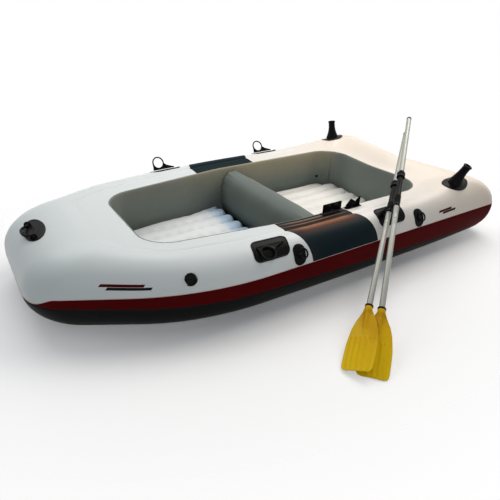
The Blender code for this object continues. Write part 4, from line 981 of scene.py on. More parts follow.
def mat_grid(x0, x1, rows=230, cols=340):
    """Closed sections along the boat: the ribbed top, then the flat underside back again."""
    u = 0.5 - 0.5 * np.cos(np.linspace(0, pi, rows))
    v = np.sin(np.linspace(-pi / 2, pi / 2, cols)) * 0.35 + np.linspace(-1, 1, cols) * 0.65
    x = x0 + (x1 - x0) * u
    half = cockpit_half_width(x, MAT_INSET)[:, None]
    y = half * v
    bulge = rib(y)
    scallop = SCALLOP * (1 - bulge)
    xs = x0 + scallop + (x1 - x0 - 2 * scallop) * u[:, None]
    side = (1 - np.abs(v)) * half
    reach0, reach1 = (MAT_END if abs(end - THWART_X) < 0.2 else MAT_FREE_END for end in (x0, x1))
    fall = edge_fall(xs - x0 - scallop, reach0) * edge_fall(x1 - scallop - xs, reach1)
    fall = fall * edge_fall(side, MAT_SIDE)
    wrinkle = 0.0010 * np.sin(xs * 95 + 3 * np.sin(y * 9)) * (1 - bulge) * 2
    wrinkle = wrinkle + 0.0008 * np.sin(xs * 21 + np.round(y / RIB_PITCH) * 1.7)
    height = (FLOOR_HEIGHT - FLOAT - 0.0015) - RIB_DEPTH * 1.15 * (1 - bulge) + wrinkle
    top = np.stack([xs, y, FLOAT + 0.0008 + height * fall], -1)
    under = np.stack([xs, y, np.full(xs.shape, FLOAT + 0.0002)], -1)[:, 1:-1][:, ::-1][:, ::8]
    return np.concatenate([top, under], axis=1)


def mat_film(tree):
    """White film with painted bluish shade over the rib ends ahead of the cross tube, and a
    creamier white aft of it.
    """
    place, split = own_place(tree)
    wobble = spread(tree, noise(tree, place, 16.0, 2.0), 0.06, split["X"])
    # painted shade: the pale blue stops stand for the bluish shade on the rib ends in front of the
    # cross tube
    film_and_blue_shade = ramp(tree, maths(tree, "MULTIPLY_ADD", wobble, 2.5, 1.0, clamp=True),
                [(0.0, (0.78, 0.80, 0.80)), (0.50, (0.77, 0.80, 0.81)), (0.62, (0.52, 0.66, 0.80)),
                 (0.93, (0.42, 0.60, 0.78)), (0.97, (0.80, 0.775, 0.735)),
                 (1.0, (0.80, 0.775, 0.73))])
    return shaded(tree, film_and_blue_shade, 4.0, 0.08)


MAT_VINYL = finish("mat_vinyl", (0.74, 0.74, 0.71), 0.38, grain=0.10, extra=mat_film,
                   slot="white_vinyl")
front = THWART_X - THWART_HALF * 0.97 - 0.0020
back = THWART_X + THWART_HALF * 0.97 + 0.0020
for name, x0, x1, node in (("floor_mat_forward_air", RIM_BOW_X + 0.006, front, "floor_mat_forward"),
                           ("floor_mat_aft_air", back, RIM_TRANSOM_X + 0.020, "floor_mat_aft")):
    stand_in(tube(name, mat_grid(x0, x1), MAT_VINYL), node)
print("floor mats made")

# %% [markdown]
# ## The bottom sheet
# A thicker black sheet makes the bottom.  It is seen only from below, flat, and its welded edge
# is a little rounded.

# %% Bottom sheet
def bottom_grid(rings=26):
    """The sheet's plan in rings from its edge to the middle line: flat, with a rounded edge."""
    outside, inwards, crown = spans(PLACES)[:3]
    edge = outside + inwards * (crown - 0.025)[:, None]
    middle = np.stack([np.clip(edge[:, 0], -0.55, 0.62), np.zeros(len(edge))], -1)
    shares = np.r_[0.0, 0.004, 0.012, np.linspace(0.03, 1.0, rings)]
    low, high = np.zeros(len(shares)), np.full(len(shares), SHEET)
    low[:2], high[:2] = (0.0016, 0.0005), (SHEET - 0.0008, SHEET - 0.0002)

    def rows(heights):
        """The plan drawn in by each share, at the height that goes with it."""
        return [np.c_[edge + (middle - edge) * s, np.full(len(edge), z)]
                for s, z in zip(shares, heights)]
    return np.array(rows(low)[::-1] + rows(high))


points = bottom_grid()
bottom_piece = mesh_piece("bottom_sheet_film", points, grid_faces(*points.shape[:2], False, True),
                          BLACK_VINYL)
stand_in(bottom_piece, "bottom_sheet")
print("bottom sheet", points.shape)

# %% [markdown]
# ## Laying things on the skin
# Each fitting is welded to the curved tube.  A patch maps two distances, aft and up round the
# girth, and a height above the film to a point in space.  Pads are then drawn flat, as outlines
# drawn in step by step with a height for each step, and the patch bends them over the tube.

# %% Patches and pads
GIRTH_ANGLES = np.linspace(-pi / 2, pi, 3000)


def place_at(side, x, angle):
    """The place where the skin at an angle has a given x, found by Newton's steps."""
    last = int(np.argmax(outside_half[:, 0]))
    place = np.interp(x, outside_half[:last + 1, 0], np.arange(last + 1))
    place = place if side > 0 else STATIONS - place
    for _ in range(8):
        slope = skin(place + 0.5, angle)[..., 0] - skin(place - 0.5, angle)[..., 0]
        place = place + (x - skin(place, angle)[..., 0]) / slope
    return place


def patch_about(spot, angle, side):
    """A map from (aft, up the girth, out) in metres to points over the skin about one place."""
    length = lengths(skin(np.full(len(GIRTH_ANGLES), spot), GIRTH_ANGLES))
    start = float(np.interp(angle, GIRTH_ANGLES, length))
    step = float(np.linalg.norm(skin(spot + 0.5, angle) - skin(spot - 0.5, angle))) * side

    def on(aft, up, out=0.0):
        turn = np.interp(start + np.asarray(up, float), length, GIRTH_ANGLES)
        return off_skin(spot + np.asarray(aft, float) / step, turn, out)
    return on


def patch(side, x, z):
    """The patch about the point of one side that has a given x and height."""
    angle = float(angle_at_height(z, x))
    return patch_about(float(place_at(side, x, angle)), angle, side)


def rounded(length, width, radius, arc=11, run=13):
    """A rounded box as a function of how far it is drawn in, always with as many points."""
    def outline(inset):
        a, b = max(length / 2 - inset, 0.001), max(width / 2 - inset, 0.001)
        r = min(max(radius - inset, 0.0012), a * 0.95, b * 0.95)
        arcs = []
        for turn, (sx, sy) in enumerate(((1, 1), (-1, 1), (-1, -1), (1, -1))):
            q = (turn + np.linspace(0, 1, arc)) * pi / 2
            arcs.append(np.c_[sx * (a - r) + r * np.cos(q), sy * (b - r) + r * np.sin(q)])
        f = np.linspace(0, 1, run + 2)[1:-1, None]
        return np.vstack([part for one, two in zip(arcs, arcs[1:] + arcs[:1])
                          for part in (one, one[-1] + (two[0] - one[-1]) * f)])
    return outline


def oval(length, width, count=120):
    """An ellipse as a function of how far it is drawn in."""
    q = circle(count)
    return lambda inset: np.c_[max(length / 2 - inset, 0.0005) * np.cos(q),
                               max(width / 2 - inset, 0.0005) * np.sin(q)]


def pad(name, node, on, outline, profile, lean=0.0):
    """A pad from (inset, height) steps, underside first; lean shears it aft going up the girth."""
    sections = []
    for inset, height in profile:
        flat = outline(inset)
        sections.append(on(flat[:, 0] + lean * flat[:, 1], flat[:, 1], height))
    stand_in(tube(name, sections, BLACK_RUBBER), node)


def bordered(depth, middle=0.0022, border=0.0034, steps=7):
    """A profile with a raised border and a groove in it, for a pad whose half width is depth."""
    under = [(depth * f, -0.0008) for f in np.linspace(0.94, 0.0, steps)]
    rim = [(-0.0006, 0.0006), (0.0000, border * 0.62), (0.0010, border * 0.94), (0.0026, border),
           (0.0042, border * 0.92), (0.0054, middle * 0.62), (0.0068, middle * 0.58),
           (0.0082, middle * 0.72), (0.0096, middle * 1.05), (0.0112, middle * 1.10),
           (0.0130, middle)]
    top = [(0.0130 + (depth * 0.94 - 0.0130) * f, middle) for f in np.linspace(0, 1, steps)[1:]]
    return under + rim + top


print("patches ready, beam patch", np.round(patch(-1, 0.0, 0.2)(0.0, 0.0), 4).tolist())

# %% [markdown]
# ## The dark bands
# A sheet with a dark print lies over each side tube, from the lip to the red band.  It has
# stripes along the boat: dark, tan and brown near the lip, a coppery glow on the crown, and navy
# below.  The stripes are drawn by a colour ramp over a UV coordinate that runs down the girth.

# %% Dark bands
BAND_X0, BAND_X1, BAND_SLANT0, BAND_SLANT1, BAND_LIP = -0.203, 0.190, 0.052, 0.053, 0.002
BAND_ROWS, BAND_COLS, BAND_DECK, BAND_RISE = 120, 110, 0.108, 0.0009


def band_grid(side):
    """Rows from the lip down to the red band by columns from the forward edge to the aft edge."""
    low = float(angle_at_height(RED_TOP + 0.002, 0.0))
    lip = pi - BAND_LIP / BAND_DECK * (pi / 2)
    angle = np.linspace(lip, low, BAND_ROWS)
    middle = skin(place_at(side, np.zeros(BAND_ROWS), angle), angle)
    seam_y = abs(float(SEAM[180, 1]))
    slant = held((np.abs(middle[:, 1]) - seam_y) / (HALF_BEAM - seam_y))
    x0, x1 = BAND_X0 + BAND_SLANT0 * slant, BAND_X1 + BAND_SLANT1 * slant
    f = np.linspace(0, 1, BAND_COLS)
    x = x0[:, None] + (x1 - x0)[:, None] * f
    turn = np.broadcast_to(angle[:, None], x.shape)
    place = place_at(side, x, turn)
    row = np.arange(BAND_ROWS)
    edge = np.minimum(np.minimum(f, 1 - f) * BAND_COLS, np.minimum(row, row[::-1])[:, None])
    lift = STRIP_EDGE + BAND_RISE * held(edge / 1.5)
    return off_skin(place, turn, lift), off_skin(place, turn, STRIP_GAP)


def sheet_piece(name, over, under, material):
    """A thin closed sheet from its upper and lower grids, with a UV map over both."""
    rows, cols = over.shape[:2]
    top = grid_faces(rows, cols)
    low = grid_faces(rows, cols)[:, ::-1] + rows * cols
    loop = np.r_[np.arange(cols), np.arange(2 * cols - 1, rows * cols, cols),
                 np.arange(rows * cols - 2, (rows - 1) * cols - 1, -1),
                 np.arange((rows - 2) * cols, 0, -cols)]
    after = np.roll(loop, -1)
    sides = np.c_[loop, loop + rows * cols, after + rows * cols, after]
    obj = mesh_piece(name, np.concatenate([over.reshape(-1, 3), under.reshape(-1, 3)]),
                     [top, low, sides], material)
    v, u = (g.ravel() for g in np.meshgrid(np.linspace(0, 1, rows), np.linspace(0, 1, cols),
                                           indexing="ij"))
    spot = np.tile(np.c_[u, v], (2, 1))
    index = np.empty(len(obj.data.loops), int)
    obj.data.loops.foreach_get("vertex_index", index)
    obj.data.uv_layers.new(name="print").data.foreach_set("uv", spot[index].ravel())
    return obj


def printed_band(tree):
    """The print: stripes down the girth, with a coppery gradient along the crown."""
    place = add(tree, "ShaderNodeUVMap").outputs["UV"]
    split = add(tree, "ShaderNodeSeparateXYZ", Vector=place).outputs
    stripes = ramp(tree, split["Y"], [(0.000, (0.008, 0.010, 0.010)),
                                      (0.080, (0.009, 0.010, 0.009)), (0.095, (0.24, 0.175, 0.120)),
                                      (0.145, (0.15, 0.100, 0.068)), (0.160, (0.014, 0.009, 0.007)),
                                      (0.235, (0.017, 0.009, 0.007)), (0.250, (0.27, 0.165, 0.105)),
                                      (0.285, (0.12, 0.060, 0.038)), (0.305, (0.016, 0.009, 0.007)),
                                      (0.385, (0.020, 0.011, 0.008)), (0.405, (0.26, 0.130, 0.075)),
                                      (0.510, (0.30, 0.120, 0.065)), (0.590, (0.055, 0.027, 0.019)),
                                      (0.690, (0.012, 0.020, 0.024)), (1.0, (0.007, 0.016, 0.021))],
                   smooth=False)
    ends = ramp(tree, split["X"], [(0.0, (0.25, 0.25, 0.25)), (0.22, (1, 1, 1)),
                                   (0.75, (1, 1, 1)), (1.0, (0.35, 0.35, 0.35))])
    return mix_colour(tree, ends, (0.016, 0.022, 0.025), stripes)


PRINT_VINYL = finish("printed_vinyl", (0.05, 0.03, 0.03), 0.36, grain=0.08, scuff=0.04,
                     specular=0.02, extra=printed_band, slot="navy_vinyl")
for side, word in ((-1, "port"), (1, "starboard")):
    piece = sheet_piece("band_film_" + word, *band_grid(side),
                        PRINT_VINYL if side < 0 else NAVY_VINYL)
    stand_in(piece, "band_" + word)
print("dark bands made")

# %% [markdown]
# ## Oarlock pads and rings
# Four moulded pads stand on the shoulders of the tubes.  Each has a raised border and carries a
# ring on a long low fin, so that the ring gives when an oar pulls.  The ring's rim is thick, the
# web under it thinner, and the fin runs out into a foot with a small stop near its aft end.

# %% Oarlock pads
LOCK_X, LOCK_HEIGHT = (-0.335, 0.362), 0.281
LOCK_LENGTH, LOCK_WIDTH, LOCK_CORNER = 0.172, 0.104, 0.028
RING_RADIUS, RING_WALL, RING_RISE, RING_AHEAD = 0.028, 0.0075, 0.038, 0.026
FIN_LENGTH, FIN_THICK, FIN_FOOT, RING_EDGE, RING_FADE = 0.132, 0.008, 0.0022, 0.0034, 0.003


for side, tag, k in CORNERS:
    pad("oarlock_base_" + tag, "oarlock_pad_" + tag, patch(side, LOCK_X[k], LOCK_HEIGHT),
        rounded(LOCK_LENGTH, LOCK_WIDTH, LOCK_CORNER), bordered(LOCK_WIDTH / 2, 0.0020, 0.0032),
        lean=0.10)
print("oarlock pads on", [round(float(patch(-1, x, LOCK_HEIGHT)(0, 0)[2]), 4) for x in LOCK_X])

# %% Oarlock rings
def ring_lines(count=160):
    """The bore and the outer line of a ring on its fin, as matching points (along, up): the
    circle's upper part, then a concave leg down to each end of the foot and the foot itself."""
    out, low = RING_RADIUS + RING_WALL, radians(-14)
    arc = np.linspace(low, pi - low * 0.2, 70)
    top = np.c_[out * np.cos(arc) - RING_AHEAD, RING_RISE + out * np.sin(arc)]
    f = np.linspace(0, 1, 34)[1:]
    half = FIN_LENGTH / 2
    start = top[-1]
    fore = np.c_[start[0] + (-half - start[0]) * f ** 1.6,
                 start[1] * (1 - f) ** 1.25 + FIN_FOOT * f]
    x = -half + 2 * half * np.linspace(0, 1, 60)[1:]
    foot = np.c_[x, np.full(len(x), -0.0026)]
    end = top[0]
    f = np.linspace(0, 1, 60)[:-1]
    x = half + (end[0] - half) * f
    knob = 0.0030 * bump(x, 0.050, 0.0045)
    aft = np.c_[x, FIN_FOOT + end[1] * f ** 2.1 + knob]
    outer = np.vstack([top, fore, foot, aft])
    outer = resampled(outer, count + 1)[:-1]
    centre = np.array([-RING_AHEAD, RING_RISE])
    inner = centre + unit(outer - centre) * RING_RADIUS
    return inner, outer


def ring_piece(name, foot, along, up):
    """The ring: its section is thick at the bore, thin in the web, thick and round at the edge."""
    inner, outer = ring_lines()
    reach = np.linalg.norm(outer - inner, axis=1)
    v = (1 - np.cos(np.linspace(0, pi, 22))) / 2
    from_in, from_out = v * reach[:, None], (1 - v) * reach[:, None]
    near = np.minimum(from_in, from_out)
    roundness = quarter(near / RING_EDGE)
    web = held((from_in - RING_WALL) / RING_FADE) * held((from_out - 0.004) / RING_FADE)
    thick = FIN_THICK / 2 * roundness * (1 - 0.42 * web * web * (3 - 2 * web))
    flat = inner[:, None] + (outer - inner)[:, None] * v[None, :, None]
    across = np.cross(along, up)
    middle = foot + flat[..., 0, None] * along + flat[..., 1, None] * up
    one, two = middle + thick[..., None] * across, middle - thick[..., None] * across
    loop = np.concatenate([one, two[:, 1:-1][:, ::-1]], axis=1)
    return ring_mesh(name, loop, BLACK_RUBBER)


for _, tag, _ in CORNERS:
    foot, along = hinge("ring_%s_%s" % (tag, "unfold" if tag == "port_forward" else "flex"))
    up = cad_points("oarlock_ring_" + tag).mean(0) - foot
    up = unit(up - along * (up @ along))
    piece = ring_piece("oarlock_loop_" + tag, foot, along, up)
    stand_in(piece, "oarlock_ring_" + tag, "ring_" + tag)
print("oarlock rings made")

# %% [markdown]
# ## Eyelets
# Lower on each side, oval pads hold a hoop with a loose ring in it, for a line.

# %% Eyelets
EYE_X, EYE_HEIGHT = (-0.217, 0.534), 0.2380
EYE_LENGTH, EYE_WIDTH, EYE_RING, EYE_WIRE = 0.092, 0.060, 0.044, 0.0052
LOOP_WIRE = 0.0072
ARCH_HOLE, ARCH_WIRE = 0.0078, 0.0032


def sweep(name, path, out, radii, material=BLACK_RUBBER, closed=False, sides=20):
    """A round bar along a path, with round ends; out gives one side direction of its section."""
    path = np.asarray(path, float)
    ahead = np.roll(path, -1, 0) - np.roll(path, 1, 0) if closed else np.gradient(path, axis=0)
    ahead = unit(ahead)
    out = np.broadcast_to(np.asarray(out, float), path.shape)
    out = unit(out - ahead * np.sum(out * ahead, 1, keepdims=True))
    side = np.cross(ahead, out)
    radii = np.broadcast_to(np.asarray(radii, float), (len(path),))
    t = circle(sides)
    ring = path[:, None] + radii[:, None, None] * (np.cos(t)[None, :, None] * out[:, None]
                                                   + np.sin(t)[None, :, None] * side[:, None])
    if closed:
        return ring_mesh(name, ring, material)

    def end_rings(k, sign, shares):
        """Rings that close one end, nearly an ellipsoid: c along it, sqrt(1 - 0.98 c**2) across."""
        middle = ring[k].mean(0)
        reach = sign * ahead[k] * radii[k] * 0.8
        return [middle + reach * c + (ring[k] - middle) * sqrt(1 - c * c * 0.98) for c in shares]

    caps = np.linspace(0, 1, 6)[1:]
    first, last = end_rings(0, -1, caps[::-1]), end_rings(-1, 1, caps)
    return tube(name, np.array(first + list(ring) + last), material)


def hoop(name, seat, across, normal, hole, wire, leg):
    """A half hoop on two legs, as a bar whose feet spread a little where they meet the pad."""
    a = np.linspace(0, pi, 30)
    middle = hole + wire
    arc = seat + np.outer(np.cos(a), across * middle) + np.outer(np.sin(a), normal * middle)
    down = np.linspace(leg, 0, 7)[:-1]
    start = seat + across * middle - np.outer(down, normal)
    end = seat - across * middle - np.outer(down[::-1], normal)
    path = np.vstack([start, arc, end])
    flare = np.r_[np.linspace(1.5, 1.0, 6), np.ones(30), np.linspace(1.0, 1.5, 6)]
    return sweep(name, path, np.cross(across, normal), wire * flare)


flat = EYE_RING / 2 * (1 - 0.03 * np.cos(circle(72)) ** 2)[:, None]
for side, tag, k in CORNERS:
    pin, axis = hinge("eyelet_%s_swing" % tag)
    centre = cad_points("eyelet_ring_" + tag).mean(0)
    along = unit(centre - pin)
    normal = np.cross(along, axis)
    normal = normal if normal[2] > 0 else -normal
    pad("eyelet_base_" + tag, "eyelet_pad_" + tag, patch(side, EYE_X[k], EYE_HEIGHT),
        rounded(EYE_WIDTH, EYE_LENGTH, EYE_WIDTH / 2 - 0.001),
        bordered(EYE_WIDTH / 2, 0.0019, 0.0030))
    seat = pin - normal * (EYE_WIRE / 2 + GAP)
    stand_in(hoop("eyelet_hoop_" + tag, seat, along, normal, ARCH_HOLE, ARCH_WIRE, 0.003))
    path = centre + round_about(72, along, axis) * flat
    piece = sweep("eyelet_loop_" + tag, path, normal, LOOP_WIRE / 2, closed=True)
    stand_in(piece, "eyelet_ring_" + tag, "eyelet_" + tag)
print("eyelets made")

# %% [markdown]
# ## The bow handle
# A wide oval pad on the bow holds a carrying grip between two low hoops.  The grip is thicker in
# the hand and lies folded down.

# %% Bow handle
HANDLE_SIDE, HANDLE_HEIGHT, HANDLE_DROP = 0.040, 0.302, 0.010
HANDLE_LENGTH, HANDLE_WIDTH = 0.198, 0.092
GRIP_LENGTH, GRIP_RISE, GRIP_WIRE = 0.150, 0.034, 0.0105

bow_angle = float(angle_at_height(HANDLE_HEIGHT, -1.15))
bow_places = np.linspace(0, 60, 601)
bow_place = float(np.interp(HANDLE_SIDE, skin(bow_places, bow_angle)[:, 1], bow_places))
bow_on = patch_about(bow_place, bow_angle, 1)
pad("bow_handle_base", "bow_handle_pad", lambda aft, up, out: bow_on(aft, up - HANDLE_DROP, out),
    oval(HANDLE_LENGTH, HANDLE_WIDTH), bordered(HANDLE_WIDTH / 2, 0.0020, 0.0032))
grip_at, grip_axis = hinge("bow_grip_swing")
grip_points = cad_points("bow_handle_grip")
far = grip_points[np.abs((grip_points - grip_at) @ grip_axis) < 0.02].mean(0) - grip_at
rise = unit(far - grip_axis * (far @ grip_axis))
flat = GRIP_LENGTH / 2 - 0.026
a = np.linspace(0, pi, 60)[1:-1]
arch_path = np.c_[-flat * np.cos(a), GRIP_RISE * np.sin(a) ** 0.7]
legs = np.linspace(GRIP_LENGTH / 2 - 0.001, flat, 10)
line = np.vstack([np.c_[-legs, 0 * legs], arch_path, np.c_[legs[::-1], 0 * legs]])
for _ in range(6):
    line[1:-1] = (line[:-2] + 2 * line[1:-1] + line[2:]) / 4
thick = GRIP_WIRE / 2 * (0.98 + 0.25 * held((flat * 0.72 - np.abs(line[:, 0])) / 0.012))
piece = sweep("bow_grip_bar", grip_at + np.outer(line[:, 0], grip_axis)
              + np.outer(line[:, 1], rise), rise, thick, sides=28)
stand_in(piece, "bow_handle_grip", "bow_grip")
pad_normal = skin_normal(bow_place, bow_angle)
for k, sign in enumerate((-1, 1)):
    seat = grip_at + grip_axis * sign * (GRIP_LENGTH / 2 - 0.010)
    normal = unit(pad_normal - grip_axis * (pad_normal @ grip_axis))
    stand_in(hoop("bow_handle_hoop_%d" % (k + 1), seat, np.cross(grip_axis, normal), normal,
                  GRIP_WIRE / 2 + 0.0006, 0.004, 0.009))
print("bow handle at", np.round(bow_on(0.0, 0.0), 4).tolist())

# %% [markdown]
# ## Laying things on the deck
# On top, fittings are placed by their plan.  Newton's method finds, for any (x, y), the place and
# angle of the skin above it.

# %% Deck map
def crossed(a, b):
    """The cross product of two plan vectors."""
    return a[..., 0] * b[..., 1] - a[..., 1] * b[..., 0]


def above(x, y, side):
    """Place and angle of the skin at (x, y), by Newton's steps on the two plan coordinates."""
    x, y = paired(x, y)
    away = (OUTSIDE[:, 0] - x.reshape(-1, 1)) ** 2 + (OUTSIDE[:, 1] - y.reshape(-1, 1)) ** 2
    nearest = np.argmin(away + 9.0 * (OUTSIDE[:, 1] * side < 0), axis=1)
    place = nearest.reshape(x.shape).astype(float)
    angle = np.full(x.shape, 0.62 * pi)
    for _ in range(14):
        dp = (skin(place + 0.2, angle)[..., :2] - skin(place - 0.2, angle)[..., :2]) / 0.4
        da = (skin(place, angle + 0.003)[..., :2] - skin(place, angle - 0.003)[..., :2]) / 0.006
        miss = np.stack([x, y], -1) - skin(place, angle)[..., :2]
        det = crossed(dp, da)
        det = np.where(np.abs(det) < 1e-9, 1e-9, det)
        place = place + np.clip(crossed(miss, da) / det, -12, 12)
        angle = np.clip(angle + np.clip(crossed(dp, miss) / det, -0.4, 0.4), 0.15, pi - 0.01)
    return place, angle


def deck_patch(side, x0, y0):
    """A map from plan offsets and a height to points over the deck about (x0, y0)."""
    def on(dx, dy, out=0.0):
        return off_skin(*above(x0 + np.asarray(dx, float), y0 + np.asarray(dy, float), side), out)
    return on


print("deck above (0.918, -0.5)", np.round(deck_patch(-1, 0.918, -0.5)(0.0, 0.0), 4).tolist())

# %% [markdown]
# ## Rod holders
# Two black cones with open bores stand on oval bases near the stern.  Each flares from a round
# tube into its base, more on the outboard and aft sides, and its mouth has a rolled lip.

# %% Rod holders
ROD_X, ROD_SIDE, ROD_LENGTH, ROD_WIDTH = 0.918, 0.500, 0.164, 0.112
ROD_RISE, ROD_AFT, ROD_OUT, ROD_TUBE, ROD_BORE = 0.096, 0.018, 0.042, 0.042, 0.028
CONE_FOOT, FLARE_END = (0.040, 0.038), 0.80


def rod_cone(name, on, side):
    """Rings from the base's oval, which lies on the pad, to circles square to the leaning axis."""
    base = np.array([ROD_X, side * ROD_SIDE, END_HEIGHT - 0.002])
    axis = np.array([ROD_AFT, side * ROD_OUT, ROD_RISE])
    length = float(np.linalg.norm(axis))
    axis = axis / length
    u = unit(np.cross((0, 1.0, 0), axis))
    v = np.cross(axis, u)
    t, around = circle(72), round_about(72, u, v)
    bottom = on(CONE_FOOT[0] * np.cos(t), CONE_FOOT[1] * np.sin(t), 0.0016) - base
    rings = [base + bottom * f - np.array([0, 0, z]) for f, z in ((0.5, 0.004), (1.02, 0.0015))]
    for s in np.linspace(0, FLARE_END, 26):
        flare = (1 - s / FLARE_END) ** 2.6
        ring = base + axis * (0.006 * (1 - flare) + s * length * 0.94) + bottom * flare
        rings.append(ring + around * ROD_TUBE / 2 * (1 - flare) ** 0.8)
    lip = ((0.86, 1.0), (0.915, 1.0), (0.925, 1.08), (0.94, 1.14), (0.965, 1.16), (0.985, 1.12),
           (0.997, 1.02), (1.0, 0.90), (1.0, 0.80), (0.994, 0.70), (0.98, ROD_BORE / ROD_TUBE))
    rings += [base + axis * s * length + around * ROD_TUBE / 2 * r for s, r in lip]
    rings += [base + axis * s * length + around * ROD_BORE / 2 for s in (0.9, 0.6, 0.3)]
    rings += [base + axis * 0.021 + around * ROD_BORE / 2 * r for r in (0.97, 0.80, 0.3)]
    return tube(name, np.array(rings), BLACK_RUBBER)


for side, word in SIDES:
    on = deck_patch(side, ROD_X, side * ROD_SIDE)
    pad("rod_base_" + word, "rod_holder_" + word, on, oval(ROD_LENGTH, ROD_WIDTH),
        bordered(ROD_WIDTH / 2, 0.0018, 0.0030))
    stand_in(rod_cone("rod_cone_" + word, on, side))
print("rod holders made")

# %% [markdown]
# ## Valves
# The main valve has a flange welded to the side and a cap with finger notches and a bar.  The
# small valves are soft white pins with a flange, a stem and a plug.

# %% Valves
def lathe(name, profile, origin, axis, material, steps=72, lobes=0, lobe=0.0, bar=None):
    """A profile of (radius, height) turned about an axis, with optional lobes round its edge."""
    axis = unit(axis)
    u = unit(np.cross(axis, (0.3, 0.2, 0.9) if abs(axis[2]) < 0.8 else (1.0, 0, 0)))
    v = np.cross(axis, u)
    t = circle(steps)
    notch, even = 1 - lobe * (0.5 + 0.5 * np.cos(lobes * t)) ** 3, np.ones(steps)
    most = max(radius for radius, height in profile)
    rings = []
    for radius, height in profile:
        reach = radius * (notch if radius > 0.55 * most else even)
        x, y = reach * np.cos(t), reach * np.sin(t)
        lift = height * even + (bar(x, y) if bar and radius < 0.9 * most else 0.0)
        rings.append(origin + np.outer(x, u) + np.outer(y, v) + np.outer(lift, axis))
    return tube(name, np.array(rings), material)


def round_over(points, cut=0.0006):
    """A profile with each corner replaced by three points of a small curve."""
    points = [np.array(p, float) for p in points]
    out = [points[0]]
    for before, here, after in zip(points[:-2], points[1:-1], points[2:]):
        a, b = before - here, after - here
        la, lb = np.linalg.norm(a), np.linalg.norm(b)
        c = min(cut, la * 0.45, lb * 0.45)
        p, q = here + a / la * c, here + b / lb * c
        out += [p, (p + q + 2 * here) / 4, q]
    return out + [points[-1]]


MAIN_VALVE = 0.056
cap_at, cap_axis = hinge("valve_cap_turn")
r = MAIN_VALVE / 2
profile = round_over([(0.0, -0.004), (r * 0.98, -0.004), (r * 1.0, 0.0018), (r * 0.93, 0.0030),
                      (r * 0.90, 0.0022), (r * 0.87, 0.0022), (r * 0.84, 0.0038), (r * 0.2, 0.0038),
                      (0.0, 0.0038)])
piece = lathe("main_valve_flange", profile, cap_at, cap_axis, BLACK_RUBBER, 96)
stand_in(piece, "valve_base_outer")
profile = round_over([(0.0, 0.0044), (r * 0.78, 0.0044), (r * 0.835, 0.0060), (r * 0.835, 0.0092),
                      (r * 0.79, 0.0104), (r * 0.72, 0.0104), (r * 0.68, 0.0086),
                      (r * 0.40, 0.0086), (r * 0.2, 0.0086), (0.0, 0.0086)])
finer = [profile[0]]
for p, q in zip(profile[:-1], profile[1:]):
    finer += [p + (q - p) * f for f in np.linspace(0, 1, 4)[1:]]
piece = lathe("main_valve_cap", finer, cap_at, cap_axis, BLACK_RUBBER, 120, 10, 0.05,
              bar=lambda x, y: 0.0038 * held((0.0042 - np.abs(y)) / 0.0012)
              * held((r * 0.70 - np.abs(x)) / 0.001))
stand_in(piece, "valve_cap_outer", "valve_cap")
SMALL_VALVE = 0.013
for tag in ("inner", "thwart", "floor_forward", "floor_aft"):
    axis = unit(JOINTS["plug_%s_pull" % tag]["axis"])
    base = cad_points("valve_base_" + tag)
    middle = (base.max(0) + base.min(0)) / 2
    top = float((base @ axis).max())
    seat = middle + axis * (top - 0.0080 - middle @ axis)
    lift = 0.0036 if tag == "inner" else 0.0
    profile = round_over([(0.0, 0.0012), (0.0045, 0.0012), (0.0045, 0.0080), (0.0074, 0.0080),
                          (0.0078, 0.0072), (0.0072, 0.0050 + lift * 0.5),
                          (0.0086, 0.0034 + lift * 0.8), (0.0122, 0.0022 + lift),
                          (SMALL_VALVE, 0.0010 + lift), (SMALL_VALVE, -0.004), (0.0, -0.004)],
                         0.0004)
    film = BLACK_RUBBER if tag == "inner" else WHITE_PLASTIC
    stand_in(lathe("pin_valve_" + tag, profile, seat, axis, film, 64), "valve_base_" + tag)
    profile = round_over([(0.0, 0.0020), (0.0036, 0.0020), (0.0039, 0.0084), (0.0079, 0.0084),
                          (0.0079, 0.0112), (0.0060, 0.0123), (0.0030, 0.0116), (0.0, 0.0116)],
                         0.0004)
    piece = lathe("pin_plug_" + tag, profile, seat, axis, film, 64, 2, 0.10)
    stand_in(piece, "valve_plug_" + tag, "plug_" + tag)
print("valves made")

# %% [markdown]
# ## The oar keeper
# Beside the port lip, a strap hinged on a patch lies against a standing clip.

# %% Oar keeper
KEEPER_X0, KEEPER_X1, CLIP_X0, CLIP_X1 = 0.052, 0.168, 0.198, 0.292
KEEPER_RISE, KEEPER_THICK, KEEPER_FOOT = 0.042, 0.004, 0.032
strap_at = hinge("keeper_strap_fold")[0]
LINE_Y = float(strap_at[1])


def plate(name, outline, edge=0.0011):
    """The keeper's flat plates: an outline in X and Z on the plane Y = LINE_Y, rounded."""
    outline = np.asarray(outline, float)
    ahead = unit(np.roll(outline, -1, 0) - np.roll(outline, 1, 0))
    inwards = np.c_[-ahead[:, 1], ahead[:, 0]]
    if np.sum((outline.mean(0) - outline) * inwards) < 0:
        inwards = -inwards
    layers = []
    half = [(4, 1.0), (1, 1.0), (0.3, 0.78), (0, 0.4)]
    for inset, y in [(f, -y) for f, y in half] + half[::-1]:
        flat = outline + inwards * edge * inset
        layers.append(np.c_[flat[:, 0], np.full(len(flat), LINE_Y + y * KEEPER_THICK / 2),
                            flat[:, 1]])
    return tube(name, np.array(layers), BLACK_RUBBER)


def rounded_outline(corners, radius, steps=8):
    """A closed outline with its corners cut by arcs, then sampled at even steps."""
    corners = np.asarray(corners, float)
    points = []
    for k, here in enumerate(corners):
        before, after = corners[k - 1] - here, corners[(k + 1) % len(corners)] - here
        cut = min(radius, np.linalg.norm(before) * 0.45, np.linalg.norm(after) * 0.45)
        p, q = here + unit(before) * cut, here + unit(after) * cut
        f = np.linspace(0, 1, steps)[:, None]
        points.append((1 - f) ** 2 * p + 2 * f * (1 - f) * here + f ** 2 * q)
    points = np.vstack(points)
    points = np.vstack([points, points[:1]])
    return resampled(points, 181)[:-1]


